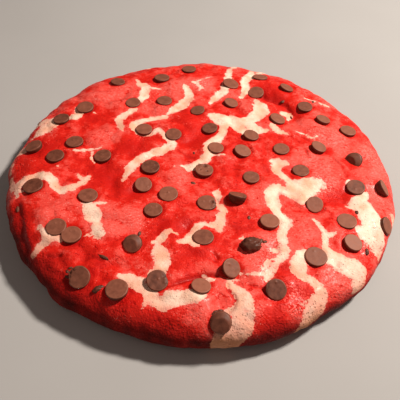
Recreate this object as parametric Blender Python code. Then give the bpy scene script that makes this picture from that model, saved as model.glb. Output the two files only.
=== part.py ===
"""A giant round cookie of red and cream dough with chocolate chips pressed into its top.

The cookie stands on its flat base. Its origin is the middle of that base, +Z points up and
the side that is seen best, its front, faces -Y. All lengths are in metres.
"""
import math
import random
from collections import namedtuple

import bmesh
import bpy
from mathutils import Matrix, Vector, noise
from mathutils.bvhtree import BVHTree

MM = 0.001

# Dough: its outline and the section of its rim
RIM_RADIUS = 118.0 * MM
TOP_HEIGHT = 23.6 * MM
BULGE_HEIGHT = 10.6 * MM
SHOULDER_POWER = 11.0
GROOVE_RADIUS = 112.3 * MM
GROOVE_HEIGHT = 3.5 * MM
FOOT_LIP = 1.3 * MM
BASE_INSET = 2.6 * MM

# Dough: how finely it is divided
RIM_SEGMENTS = 128
SHOULDER_ANGLES = (0, 20, 42, 60, 72)
UNDERCUT_ANGLES = (35, 68)
TOP_RINGS = (
    (88 * MM, 128),
    (81 * MM, 128),
    (74 * MM, 128),
    (67 * MM, 128),
    (59 * MM, 64),
    (50 * MM, 64),
    (41 * MM, 64),
    (32 * MM, 64),
    (23 * MM, 32),
    (14 * MM, 16),
)
BASE_RINGS = ((84 * MM, 64), (44 * MM, 32), (16 * MM, 16))

# Dough: unevenness of the baked surface
PILLOW_LENGTH = 24.0 * MM
PILLOW_HEIGHT = 0.7 * MM
RIM_WAVE_LENGTH = 30.0 * MM
RIM_WAVE_DEPTH = 0.7 * MM
LOBE_FALLOFF = 4.0

# Chips: a drop with a flat base of its own diameter and a blunt point below it
CHIP_SIDES = 10
CHIP_HEIGHT = 0.70
CHIP_SECTION = ((0.455, 0.0), (0.5, 0.055), (0.43, 0.30))
CHIP_GAP = 0.3 * MM
SOCKET_CLEARANCE_ABOVE = 7.0 * MM
SIDEWAYS_LEAN = 50.0
SHARP_ANGLE = math.radians(50.0)

# Chips' places were read in a picture 400 units wide, seen from in front and above
PICTURE_MIDDLE = 200.0
FOCAL_LENGTH = 553.2
EYE_DISTANCE = 354.0 * MM
EYE_ELEVATION = math.radians(45.0)
SIGHT_DOWN = math.radians(46.26)
SIGHT_ROLL = math.radians(2.43)

# Colours, as linear red, green and blue
DOUGH_RED = (0.62, 0.016, 0.010, 1.0)
CHOCOLATE = (0.085, 0.030, 0.020, 1.0)

# Low and high places of the dough: across and down in the picture, radius and height in mm
Swell = namedtuple("Swell", "across down radius height")
SWELLS = (
    Swell(212, 67, 12, 1.0),
    Swell(166, 69, 8, -0.9),
    Swell(272, 84, 15, 2.2),
    Swell(303, 97, 13, 1.3),
    Swell(100, 92, 21, 1.2),
    Swell(143, 92, 14, 0.9),
    Swell(196, 92, 12, 0.7),
    Swell(180, 124, 12, 0.8),
    Swell(216, 118, 10, 0.6),
    Swell(345, 176, 12, 1.0),
    Swell(372, 172, 12, 0.9),
    Swell(372, 222, 13, 1.3),
    Swell(338, 282, 15, 1.2),
    Swell(275, 306, 15, 0.9),
    Swell(192, 308, 16, 1.5),
    Swell(100, 306, 15, 0.9),
    Swell(36, 214, 13, 1.2),
    Swell(62, 204, 13, 0.8),
    Swell(118, 214, 14, 0.8),
    Swell(186, 212, 12, 0.6),
    Swell(240, 226, 14, 0.8),
    Swell(296, 240, 13, 0.9),
    Swell(185, 256, 13, 0.9),
    Swell(113, 178, 10, -1.3),
    Swell(84, 172, 9, -0.7),
    Swell(136, 190, 6, -1.2),
    Swell(187, 228, 6, -1.3),
    Swell(332, 148, 7, -1.6),
    Swell(353, 145, 8, -0.9),
    Swell(296, 117, 7, -1.5),
    Swell(335, 196, 10, -1.1),
    Swell(139, 236, 6, -1.0),
    Swell(223, 307, 6, -1.8),
    Swell(128, 324, 9, -0.9),
    Swell(48, 260, 8, -0.8),
)

# Valleys between lumps: a line of picture places, with its width and depth in mm
Valley = namedtuple("Valley", "line width depth")
VALLEYS = (
    Valley(((259, 94), (272, 98), (284, 103), (293, 116)), 5.0, 2.4),
    Valley(((160, 284), (180, 279), (200, 273)), 3.5, 1.4),
    Valley(((300, 128), (312, 134), (334, 142)), 5.0, 1.1),
    Valley(((60, 262), (90, 256), (120, 262)), 6.0, 0.8),
    Valley(((230, 276), (256, 284), (270, 276)), 5.0, 0.9),
    Valley(((206, 122), (196, 138), (182, 150)), 6.0, 0.9),
)

# Lobes of the outline: the direction seen from above, the width in degrees, the reach in mm
Lobe = namedtuple("Lobe", "direction width reach")
LOBES = (
    Lobe(-170, 4, -1.5),
    Lobe(-152, 6, -1.0),
    Lobe(-136, 5, -1.2),
    Lobe(-126, 4, 1.2),
    Lobe(-112, 11, -1.1),
    Lobe(-73, 7, 0.5),
    Lobe(-54, 5, -1.1),
    Lobe(-43, 4, 1.0),
    Lobe(-25, 7, -0.9),
    Lobe(-14, 4, 0.8),
    Lobe(7, 5, -0.8),
    Lobe(31, 5, -1.0),
    Lobe(58, 4, 0.9),
    Lobe(91, 8, 1.2),
    Lobe(104, 5, -1.5),
    Lobe(112, 4, 0.7),
    Lobe(132, 6, 1.1),
    Lobe(143, 4, -1.2),
    Lobe(171, 6, -1.7),
    Lobe(179, 4, 0.9),
)

# A chip's base: its middle in the picture, its diameter, how far it stands proud, both in mm,
# and how many degrees it leans towards which direction, both on top of the dough's own slope
Chip = namedtuple("Chip", "across down diameter proud lean towards", defaults=(1.2, 0, 0))
CHIPS = {
    "chip_01": Chip(189, 68.5, 10.4, 1.0),
    "chip_02": Chip(118, 81, 10.0, 1.2, 7, 0),
    "chip_03": Chip(162, 77, 10.8, 1.6),
    "chip_04": Chip(231, 83, 11.6, 1.4, 12, 0),
    "chip_05": Chip(256, 92, 11.0, 1.4),
    "chip_06": Chip(287, 87, 10.2, 0.9, 10, 20),
    "chip_07": Chip(85, 106.5, 11.4, 1.4),
    "chip_08": Chip(133, 102, 10.0),
    "chip_09": Chip(164.5, 100, 10.4),
    "chip_10": Chip(231.5, 102, 9.8, 1.2, 14, 0),
    "chip_11": Chip(305, 106, 10.2, 1.2),
    "chip_12": Chip(61, 118, 10.8),
    "chip_13": Chip(197.5, 109.7, 9.6, 0.8, 9, 180),
    "chip_14": Chip(278, 118, 10.8, 0.9, 9, 0),
    "chip_15": Chip(323.5, 118.5, 9.8, 2.0, 12, 30),
    "chip_16": Chip(144, 128.5, 10.6),
    "chip_17": Chip(209.7, 127.5, 10.0, 0.9),
    "chip_18": Chip(348.3, 130, 10.6, 1.3),
    "chip_19": Chip(33, 145.4, 11.2, 1.8),
    "chip_20": Chip(74.5, 141, 11.0, 1.4),
    "chip_21": Chip(173.6, 133.7, 10.2, 1.2),
    "chip_22": Chip(251.5, 134.5, 10.0, 2.0, 9, 10),
    "chip_23": Chip(55, 155, 11.0),
    "chip_24": Chip(102.5, 155, 10.6, 1.4, 7, 180),
    "chip_25": Chip(216, 147, 10.0, 1.2, 6, 0),
    "chip_26": Chip(243, 150, 10.8, 1.3, 12, 0),
    "chip_27": Chip(281.5, 148.3, 10.2, 1.0),
    "chip_28": Chip(319.3, 146, 10.0, 2.8, 5, 0),
    "chip_29": Chip(352, 160.5, 10.2, 1.5, 68, -140),
    "chip_30": Chip(150.5, 166, 11.2, 1.4),
    "chip_31": Chip(204.2, 169, 11.2, 1.8, 5, 20),
    "chip_32": Chip(301, 170, 10.4, 0.8),
    "chip_33": Chip(32.6, 185, 12.0, 1.4),
    "chip_34": Chip(88, 194.7, 11.2),
    "chip_35": Chip(143.4, 184, 10.0, 2.0, 12, -60),
    "chip_36": Chip(251.4, 176.6, 10.0, 1.0),
    "chip_37": Chip(168.4, 193.3, 11.0, 1.6, 7, -80),
    "chip_38": Chip(207.2, 202, 11.4, 1.4),
    "chip_39": Chip(238, 194, 10.6, 3.4, 30, 75),
    "chip_40": Chip(356, 186.5, 11.0, 1.6, 5, 180),
    "chip_41": Chip(385, 187.5, 10.6, 2.2, 30, 5),
    "chip_42": Chip(153.2, 209, 10.4, 1.3),
    "chip_43": Chip(270, 220.3, 10.8, 1.8),
    "chip_44": Chip(315, 204.2, 9.8, 1.0, 28, -90),
    "chip_45": Chip(347.2, 220.4, 11.2, 1.4),
    "chip_46": Chip(387.8, 225.5, 10.2, 1.6, 8, -20),
    "chip_47": Chip(55.8, 226.2, 11.2, 1.4),
    "chip_49": Chip(131.5, 243.5, 10.0, 2.4, 42, -115),
    "chip_50": Chip(203.5, 236.4, 11.2, 0.8),
    "chip_51": Chip(353.8, 242, 10.6, 2.0, 9, 0),
    "chip_53": Chip(232, 267.8, 10.2, 3.0, 30, -25),
    "chip_54": Chip(316.3, 256, 12.0, 1.2),
    "chip_55": Chip(78.5, 277, 11.6, 2.4, 20, -65),
    "chip_56": Chip(116.5, 288.4, 11.6, 2.2),
    "chip_57": Chip(157.5, 280, 11.2, 2.4, 6, -120),
    "chip_58": Chip(201.4, 285.1, 10.0, 2.0, 8, 60),
    "chip_59": Chip(276.4, 289.3, 10.8, 1.8, 26, -85),
    "chip_60": Chip(220.4, 323.5, 10.6, 2.6, 38, -110),
    "chip_61": Chip(260, 76.5, 11.0, 0.8, 6, 70),
}
TOUCHING_CHIP = Chip(71.2, 234.0, 11.2, 1.5)
TOUCHED_CHIP = "chip_47"

# Chips whose edge is broken: the side that is missing, seen from above the base, in degrees
BROKEN_EDGES = {"chip_31": 100, "chip_38": 10, "chip_55": 190, "chip_57": 25}
BROKEN_SHARE = 0.22

# Crumbs of broken chips fused into the dough: picture place, then length in mm
Crumb = namedtuple("Crumb", "across down length")
CRUMBS = (
    Crumb(249, 217.6, 3.2),
    Crumb(98, 288, 5.0),
    Crumb(194, 153, 2.8),
    Crumb(193, 183, 4.0),
    Crumb(139.5, 233.7, 4.0),
    Crumb(18, 208, 5.0),
    Crumb(366.8, 251.5, 4.0),
    Crumb(357, 212.5, 4.0),
    Crumb(291, 117.5, 3.4),
    Crumb(283, 101.5, 4.6),
    Crumb(313, 102, 3.4),
    Crumb(103, 256.6, 4.6),
    Crumb(251, 243, 10.5),
    Crumb(263, 240.5, 5.0),
)
CRUMB_SQUASH = 0.6
CRUMB_ROUGHNESS = (0.75, 1.1)
CRUMB_SEED = 5

# Chocolate that shows on the back of the rim: its direction, its height and its length in mm
RimCrumb = namedtuple("RimCrumb", "direction height length")
RIM_CRUMBS = (
    RimCrumb(28, 12.5, 6.5),
    RimCrumb(62, 8.0, 5.5),
    RimCrumb(97, 13.5, 7.0),
    RimCrumb(131, 9.5, 6.0),
    RimCrumb(160, 14.0, 5.0),
)
RIM_CRUMB_SUNK = 0.2


def clear_scene():
    """Remove every object, so that the file can be run again."""
    for item in list(bpy.data.objects):
        bpy.data.objects.remove(item, do_unlink=True)


def principled(name, colour, roughness):
    """Make a material of one colour."""
    material = bpy.data.materials.new(name)
    material.use_nodes = True
    shader = material.node_tree.nodes["Principled BSDF"]
    shader.inputs["Base Color"].default_value = colour
    shader.inputs["Roughness"].default_value = roughness
    shader.inputs["Metallic"].default_value = 0.0
    return material


def add_object(name, mesh, material):
    """Put a mesh of one material into the scene as an object of the given name."""
    item = bpy.data.objects.new(name, mesh)
    bpy.context.scene.collection.objects.link(item)
    mesh.materials.append(material)
    return item


def view_ray(across, down):
    """Return the eye and the direction in which a picture place is seen."""
    eye = EYE_DISTANCE * Vector((0.0, -math.cos(EYE_ELEVATION), math.sin(EYE_ELEVATION)))
    forward = Vector((0.0, math.cos(SIGHT_DOWN), -math.sin(SIGHT_DOWN)))
    level = Vector((1.0, 0.0, 0.0))
    upright = Vector((0.0, math.sin(SIGHT_DOWN), math.cos(SIGHT_DOWN)))
    right = math.cos(SIGHT_ROLL) * level + math.sin(SIGHT_ROLL) * upright
    up = math.cos(SIGHT_ROLL) * upright - math.sin(SIGHT_ROLL) * level
    sideways = (across - PICTURE_MIDDLE) / FOCAL_LENGTH
    upwards = (PICTURE_MIDDLE - down) / FOCAL_LENGTH
    return eye, (forward + sideways * right + upwards * up).normalized()


def place_on_top(across, down):
    """Return the x and y of a picture place on the level of the cookie's top."""
    eye, ray = view_ray(across, down)
    point = eye + ray * ((TOP_HEIGHT - eye.z) / ray.z)
    return Vector((point.x, point.y))


def distance_to_line(point, line):
    """Return how far a point is from a chain of straight stretches."""
    nearest = math.inf
    for start, end in zip(line, line[1:]):
        along = end - start
        share = max(0.0, min(1.0, (point - start).dot(along) / along.length_squared))
        nearest = min(nearest, (point - start - share * along).length)
    return nearest


class Relief:
    """The lumps, hollows and valleys of the dough's top, as a height over a place."""

    def __init__(self):
        self.swells = [
            (place_on_top(s.across, s.down), s.radius * MM, s.height * MM) for s in SWELLS
        ]
        self.valleys = [
            ([place_on_top(*place) for place in v.line], v.width * MM, v.depth * MM)
            for v in VALLEYS
        ]

    def height(self, x, y):
        """Return how far the dough stands above or below its even top."""
        point = Vector((x, y))
        total = PILLOW_HEIGHT * noise.noise(Vector((x, y, 0.0)) / PILLOW_LENGTH)
        for middle, radius, height in self.swells:
            total += height * math.exp(-((point - middle).length / radius) ** 2)
        for line, width, depth in self.valleys:
            total -= depth * math.exp(-(distance_to_line(point, line) / width) ** 2)
        return total


def outline_reach(angle):
    """Return how far the outline stands outside its circle in a direction."""
    total = 0.0
    for lobe in LOBES:
        turn = (math.degrees(angle) - lobe.direction + 180.0) % 360.0 - 180.0
        total += lobe.reach * MM * math.exp(-(turn / lobe.width) ** 2)
    return total


def dough_point(radius, height, angle, relief):
    """Return the place on the dough of a point of its section, turned to an angle."""
    share = radius / RIM_RADIUS
    reach = radius + outline_reach(angle) * share ** LOBE_FALLOFF
    lift = max(0.0, (height - BULGE_HEIGHT) / (TOP_HEIGHT - BULGE_HEIGHT))
    around = Vector((RIM_RADIUS * math.cos(angle), RIM_RADIUS * math.sin(angle), 2.0 * height))
    wave = noise.noise(around / RIM_WAVE_LENGTH)
    reach += RIM_WAVE_DEPTH * wave * 4.0 * lift * (1.0 - lift)
    x = reach * math.cos(angle)
    y = reach * math.sin(angle)
    return Vector((x, y, height + lift * relief.height(x, y)))


def top_height(radius):
    """Return the height of the even top at a radius."""
    share = min(1.0, radius / RIM_RADIUS)
    return BULGE_HEIGHT + (TOP_HEIGHT - BULGE_HEIGHT) * math.sqrt(1.0 - share ** SHOULDER_POWER)


def section_rings():
    """Return the dough's rings from the top inwards: radius, height and number of points."""
    rings = [(radius, top_height(radius), count) for radius, count in reversed(TOP_RINGS)]
    for angle in reversed(SHOULDER_ANGLES):
        turn = math.radians(angle)
        radius = RIM_RADIUS * math.cos(turn) ** (2.0 / SHOULDER_POWER)
        rings.append((radius, top_height(radius), RIM_SEGMENTS))
    for angle in UNDERCUT_ANGLES:
        turn = math.radians(angle)
        radius = GROOVE_RADIUS + (RIM_RADIUS - GROOVE_RADIUS) * math.cos(turn)
        height = BULGE_HEIGHT - (BULGE_HEIGHT - GROOVE_HEIGHT) * math.sin(turn)
        rings.append((radius, height, RIM_SEGMENTS))
    rings.append((GROOVE_RADIUS, GROOVE_HEIGHT, RIM_SEGMENTS))
    rings.append((GROOVE_RADIUS + FOOT_LIP, 0.5 * GROOVE_HEIGHT, RIM_SEGMENTS))
    rings.append((GROOVE_RADIUS - BASE_INSET, 0.0, RIM_SEGMENTS))
    for radius, count in BASE_RINGS:
        rings.append((radius, 0.0, count))
    return rings


def bridge(bm, outer, inner, outward):
    """Fill between two rings, where the outer one has as many or twice as many points."""
    step = len(outer) // len(inner)
    count = len(inner)
    for i in range(count):
        near = inner[i]
        beside = inner[(i + 1) % count]
        row = [outer[(i * step + k) % len(outer)] for k in range(step + 1)]
        if step == 1:
            faces = [(near, row[0], row[1], beside)]
        else:
            faces = [(near, row[0], row[1]), (near, row[1], beside), (beside, row[1], row[2])]
        for face in faces:
            bm.faces.new(face if outward else tuple(reversed(face)))


def make_dough_mesh(relief):
    """Build the closed dough from its rings, without the sockets of the chips."""
    bm = bmesh.new()
    loops = []
    for radius, height, count in section_rings():
        angles = [2.0 * math.pi * i / count for i in range(count)]
        loops.append([bm.verts.new(dough_point(radius, height, a, relief)) for a in angles])
    for above, below in zip(loops, loops[1:]):
        if len(below) >= len(above):
            bridge(bm, below, above, True)
        else:
            bridge(bm, above, below, False)
    bm.faces.new(loops[0])
    bm.faces.new(list(reversed(loops[-1])))
    bmesh.ops.triangulate(bm, faces=bm.faces[:])
    bmesh.ops.recalc_face_normals(bm, faces=bm.faces[:])
    mesh = bpy.data.meshes.new("dough")
    bm.to_mesh(mesh)
    bm.free()
    return mesh


def chip_frame(chip, tree):
    """Return the placing matrix of a chip whose base shows at its picture place."""
    eye, ray = view_ray(chip.across, chip.down)
    touch, normal, _, _ = tree.ray_cast(eye, ray)
    lean = Vector((
        math.cos(math.radians(chip.towards)),
        math.sin(math.radians(chip.towards)),
        0.0,
    ))
    axis = lean.cross(Vector((0.0, 0.0, 1.0)))
    up = (Matrix.Rotation(-math.radians(chip.lean), 3, axis) @ normal).normalized()
    middle = touch - ray * (chip.proud * MM / -ray.dot(normal))
    turn = Vector((0.0, 0.0, 1.0)).rotation_difference(up).to_matrix().to_4x4()
    return Matrix.Translation(middle) @ turn


def make_drop(name, diameter, gap=0.0, above=0.0, broken=None):
    """Build a chip with its flat base at z = 0 and its point below, or the hollow for one."""
    bm = bmesh.new()
    loops = []
    rings = [(share * diameter + gap, depth * diameter) for share, depth in CHIP_SECTION]
    if gap:
        rings[0] = (rings[1][0], -above)
    for radius, depth in rings:
        loop = []
        for i in range(CHIP_SIDES):
            angle = 2.0 * math.pi * (i + 0.5) / CHIP_SIDES
            loop.append(bm.verts.new((radius * math.cos(angle), radius * math.sin(angle), -depth)))
        loops.append(loop)
    tip = bm.verts.new((0.0, 0.0, -CHIP_HEIGHT * diameter - gap))
    bm.faces.new(loops[0])
    for above_loop, below_loop in zip(loops, loops[1:]):
        bridge(bm, below_loop, above_loop, True)
    for i in range(CHIP_SIDES):
        bm.faces.new((loops[-1][i], tip, loops[-1][(i + 1) % CHIP_SIDES]))
    if broken is not None:
        away = Vector((math.cos(math.radians(broken)), math.sin(math.radians(broken)), 0.0))
        limit = diameter * (0.5 - BROKEN_SHARE)
        for vert in loops[0] + loops[1]:
            beyond = vert.co.dot(away) - limit
            if beyond > 0.0:
                vert.co -= away * beyond
    bmesh.ops.triangulate(bm, faces=bm.faces[:])
    bmesh.ops.recalc_face_normals(bm, faces=bm.faces[:])
    mesh = bpy.data.meshes.new(name)
    bm.to_mesh(mesh)
    bm.free()
    return mesh


def make_crumb(name, length, rng):
    """Build one small angular crumb of chocolate."""
    bm = bmesh.new()
    bmesh.ops.create_icosphere(bm, subdivisions=1, radius=0.5 * length)
    for vert in bm.verts:
        vert.co *= rng.uniform(*CRUMB_ROUGHNESS)
        vert.co.y *= CRUMB_SQUASH
        vert.co.z *= CRUMB_SQUASH
    mesh = bpy.data.meshes.new(name)
    bm.to_mesh(mesh)
    bm.free()
    return mesh


def new_group(name):
    """Make an empty collection linked to the scene."""
    group = bpy.data.collections.new(name)
    bpy.context.scene.collection.children.link(group)
    return group


def cutter(name, mesh, frame, group):
    """Add a hidden tool shape to a group."""
    item = bpy.data.objects.new(name, mesh)
    group.objects.link(item)
    item.matrix_world = frame
    item.hide_render = True
    item.display_type = "WIRE"
    return item


def combine(item, group, operation):
    """Apply one Boolean of a whole group to an object, then remove the group's objects."""
    modifier = item.modifiers.new(operation.lower(), "BOOLEAN")
    modifier.operation = operation
    modifier.operand_type = "COLLECTION"
    modifier.collection = group
    modifier.solver = "EXACT"
    depsgraph = bpy.context.evaluated_depsgraph_get()
    result = bpy.data.meshes.new_from_object(item.evaluated_get(depsgraph))
    item.modifiers.clear()
    item.data = result
    for tool in list(group.objects):
        bpy.data.objects.remove(tool, do_unlink=True)
    bpy.data.collections.remove(group)


def crumb_places(tree):
    """Return where each crumb meets the dough, with its length."""
    places = []
    for crumb in CRUMBS:
        eye, ray = view_ray(crumb.across, crumb.down)
        places.append((tree.ray_cast(eye, ray)[0], crumb.length * MM))
    for crumb in RIM_CRUMBS:
        turn = math.radians(crumb.direction)
        inward = -Vector((math.cos(turn), math.sin(turn), 0.0))
        outside = Vector((0.0, 0.0, crumb.height * MM)) - 2.0 * RIM_RADIUS * inward
        touch = tree.ray_cast(outside, inward)[0]
        places.append((touch + inward * RIM_CRUMB_SUNK * crumb.length * MM, crumb.length * MM))
    return places


def fuse_crumbs(dough, tree):
    """Join the crumbs of broken chips to the dough that they lie on."""
    rng = random.Random(CRUMB_SEED)
    group = new_group("crumbs")
    for number, (touch, length) in enumerate(crumb_places(tree)):
        mesh = make_crumb(f"crumb_{number}", length, rng)
        turn = Matrix.Rotation(rng.uniform(0.0, 2.0 * math.pi), 4, "Z")
        cutter(f"crumb_{number}", mesh, Matrix.Translation(touch) @ turn, group)
    combine(dough, group, "UNION")


def cut_sockets(dough, placed):
    """Cut the hollow that each chip sits in."""
    group = new_group("sockets")
    for number, (chip, frame) in enumerate(placed):
        above = CHIP_GAP if chip.lean > SIDEWAYS_LEAN else SOCKET_CLEARANCE_ABOVE
        mesh = make_drop(f"socket_{number}", chip.diameter * MM, gap=CHIP_GAP, above=above)
        cutter(f"socket_{number}", mesh, frame, group)
    combine(dough, group, "DIFFERENCE")


def melt_onto(item, chip, frame):
    """Join a second chip to one that it touches."""
    group = new_group("beside")
    cutter("beside", make_drop("beside", chip.diameter * MM), frame, group)
    combine(item, group, "UNION")


def shade_round(item):
    """Shade an object smooth except across its sharp edges."""
    item.data.shade_smooth()
    item.data.set_sharp_from_angle(angle=SHARP_ANGLE)


def build():
    """Model the whole cookie."""
    clear_scene()
    dough_finish = principled("dough_finish", DOUGH_RED, 0.6)
    chocolate = principled("chocolate", CHOCOLATE, 0.4)
    dough = add_object("dough", make_dough_mesh(Relief()), dough_finish)
    bm = bmesh.new()
    bm.from_mesh(dough.data)
    tree = BVHTree.FromBMesh(bm)
    bm.free()
    placed = {name: (chip, chip_frame(chip, tree)) for name, chip in CHIPS.items()}
    touching = (TOUCHING_CHIP, chip_frame(TOUCHING_CHIP, tree))
    fuse_crumbs(dough, tree)
    cut_sockets(dough, [*placed.values(), touching])
    for name, (chip, frame) in placed.items():
        mesh = make_drop(name, chip.diameter * MM, broken=BROKEN_EDGES.get(name))
        add_object(name, mesh, chocolate).matrix_world = frame
    melt_onto(bpy.data.objects[TOUCHED_CHIP], *touching)
    for item in bpy.data.objects:
        shade_round(item)


build()
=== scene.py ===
"""The looks of a giant cookie of marbled red and cream dough with chocolate chips.

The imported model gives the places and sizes. This script builds a fine skin of dough with its
marbling, the chips and the crumbs around it, and a plain studio with a camera. Lengths are in
metres unless a name or a docstring says millimetres; the cookie's base rests at z = 0.
"""

import logging
import math
import random
from dataclasses import dataclass, field
from enum import Enum
from typing import Any, NamedTuple, Sequence, Union

import bmesh
import bpy
import numpy as np
from mathutils import Matrix, Vector, noise
from mathutils.bvhtree import BVHTree


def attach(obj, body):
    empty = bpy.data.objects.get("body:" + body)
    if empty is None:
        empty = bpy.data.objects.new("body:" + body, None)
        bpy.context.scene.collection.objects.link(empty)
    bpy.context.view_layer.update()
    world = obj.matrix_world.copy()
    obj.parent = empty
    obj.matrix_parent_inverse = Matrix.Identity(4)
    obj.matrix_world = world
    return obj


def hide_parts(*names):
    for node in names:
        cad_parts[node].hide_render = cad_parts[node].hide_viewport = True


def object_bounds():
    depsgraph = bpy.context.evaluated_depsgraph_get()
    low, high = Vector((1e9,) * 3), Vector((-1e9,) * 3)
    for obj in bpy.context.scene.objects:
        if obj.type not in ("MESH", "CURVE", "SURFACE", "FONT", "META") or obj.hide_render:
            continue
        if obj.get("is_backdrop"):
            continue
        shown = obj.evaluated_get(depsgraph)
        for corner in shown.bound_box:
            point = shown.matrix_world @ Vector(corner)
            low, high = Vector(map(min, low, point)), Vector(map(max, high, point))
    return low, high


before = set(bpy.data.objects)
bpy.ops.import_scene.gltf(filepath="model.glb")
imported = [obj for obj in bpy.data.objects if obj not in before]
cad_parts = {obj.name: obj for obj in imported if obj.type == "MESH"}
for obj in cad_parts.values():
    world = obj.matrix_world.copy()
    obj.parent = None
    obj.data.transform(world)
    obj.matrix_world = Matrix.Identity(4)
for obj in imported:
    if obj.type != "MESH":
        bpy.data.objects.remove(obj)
cad_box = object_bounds()

LOG = logging.getLogger("cookie")
MM = 0.001
SEED = 11
NOISE_SPAN = 50.0
FRACTAL_FALL = 0.9
FRACTAL_GAP = 2.1

Colour = tuple[float, float, float]
Place = tuple[float, float]
Span = tuple[float, float]
Number = Union["Wire", float]


class Node(Enum):
    """The shader nodes that the finishes are made of."""

    ATTRIBUTE = "ShaderNodeAttribute"
    BUMP = "ShaderNodeBump"
    COORDINATES = "ShaderNodeTexCoord"
    MAP_RANGE = "ShaderNodeMapRange"
    MATH = "ShaderNodeMath"
    MIX = "ShaderNodeMix"
    NOISE = "ShaderNodeTexNoise"
    RAMP = "ShaderNodeValToRGB"
    VECTOR_MATH = "ShaderNodeVectorMath"
    VORONOI = "ShaderNodeTexVoronoi"


class Cloud(NamedTuple):
    """Noise round a level: size of its lumps, finer layers, level, swing and strength of the layers."""

    size: float
    layers: float
    level: float
    swing: float
    roughness: float = 0.5


class Patches(NamedTuple):
    """Soft-edged patches: size, finer layers and swing of their noise, and where they rise to 1."""

    size: float
    layers: float
    swing: float
    low: float
    high: float
    roughness: float = 0.5


class Wire:
    """An output of a shader node, on which arithmetic adds Math nodes."""

    def __init__(self, graph: "Graph", socket: bpy.types.NodeSocket) -> None:
        """Hold a socket and the graph that it belongs to."""
        self.graph = graph
        self.socket = socket

    def _math(self, operation: str, first: Number, second: Number = 0.0) -> "Wire":
        """Add a Math node.

        Args:
            operation: The node's operation.
            first: The first operand.
            second: The second operand.

        Returns:
            The node's result.
        """
        return self.graph.node(Node.MATH, {"operation": operation}, {0: first, 1: second})

    def __add__(self, other: Number) -> "Wire":
        """Return the sum."""
        return self._math("ADD", self, other)

    __radd__ = __add__

    def __sub__(self, other: Number) -> "Wire":
        """Return the difference."""
        return self._math("SUBTRACT", self, other)

    def __rsub__(self, other: Number) -> "Wire":
        """Return the reflected difference."""
        return self._math("SUBTRACT", other, self)

    def __mul__(self, other: Number) -> "Wire":
        """Return the product."""
        return self._math("MULTIPLY", self, other)

    __rmul__ = __mul__

    def rise(self, low: Number, high: Number) -> "Wire":
        """Return 0 below low and 1 above high, with a smooth step between.

        Args:
            low: The value where the step starts.
            high: The value where it ends.

        Returns:
            The step.
        """
        settings = {"interpolation_type": "SMOOTHSTEP"}
        return self.graph.node(Node.MAP_RANGE, settings, {0: self, 1: low, 2: high})


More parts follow.
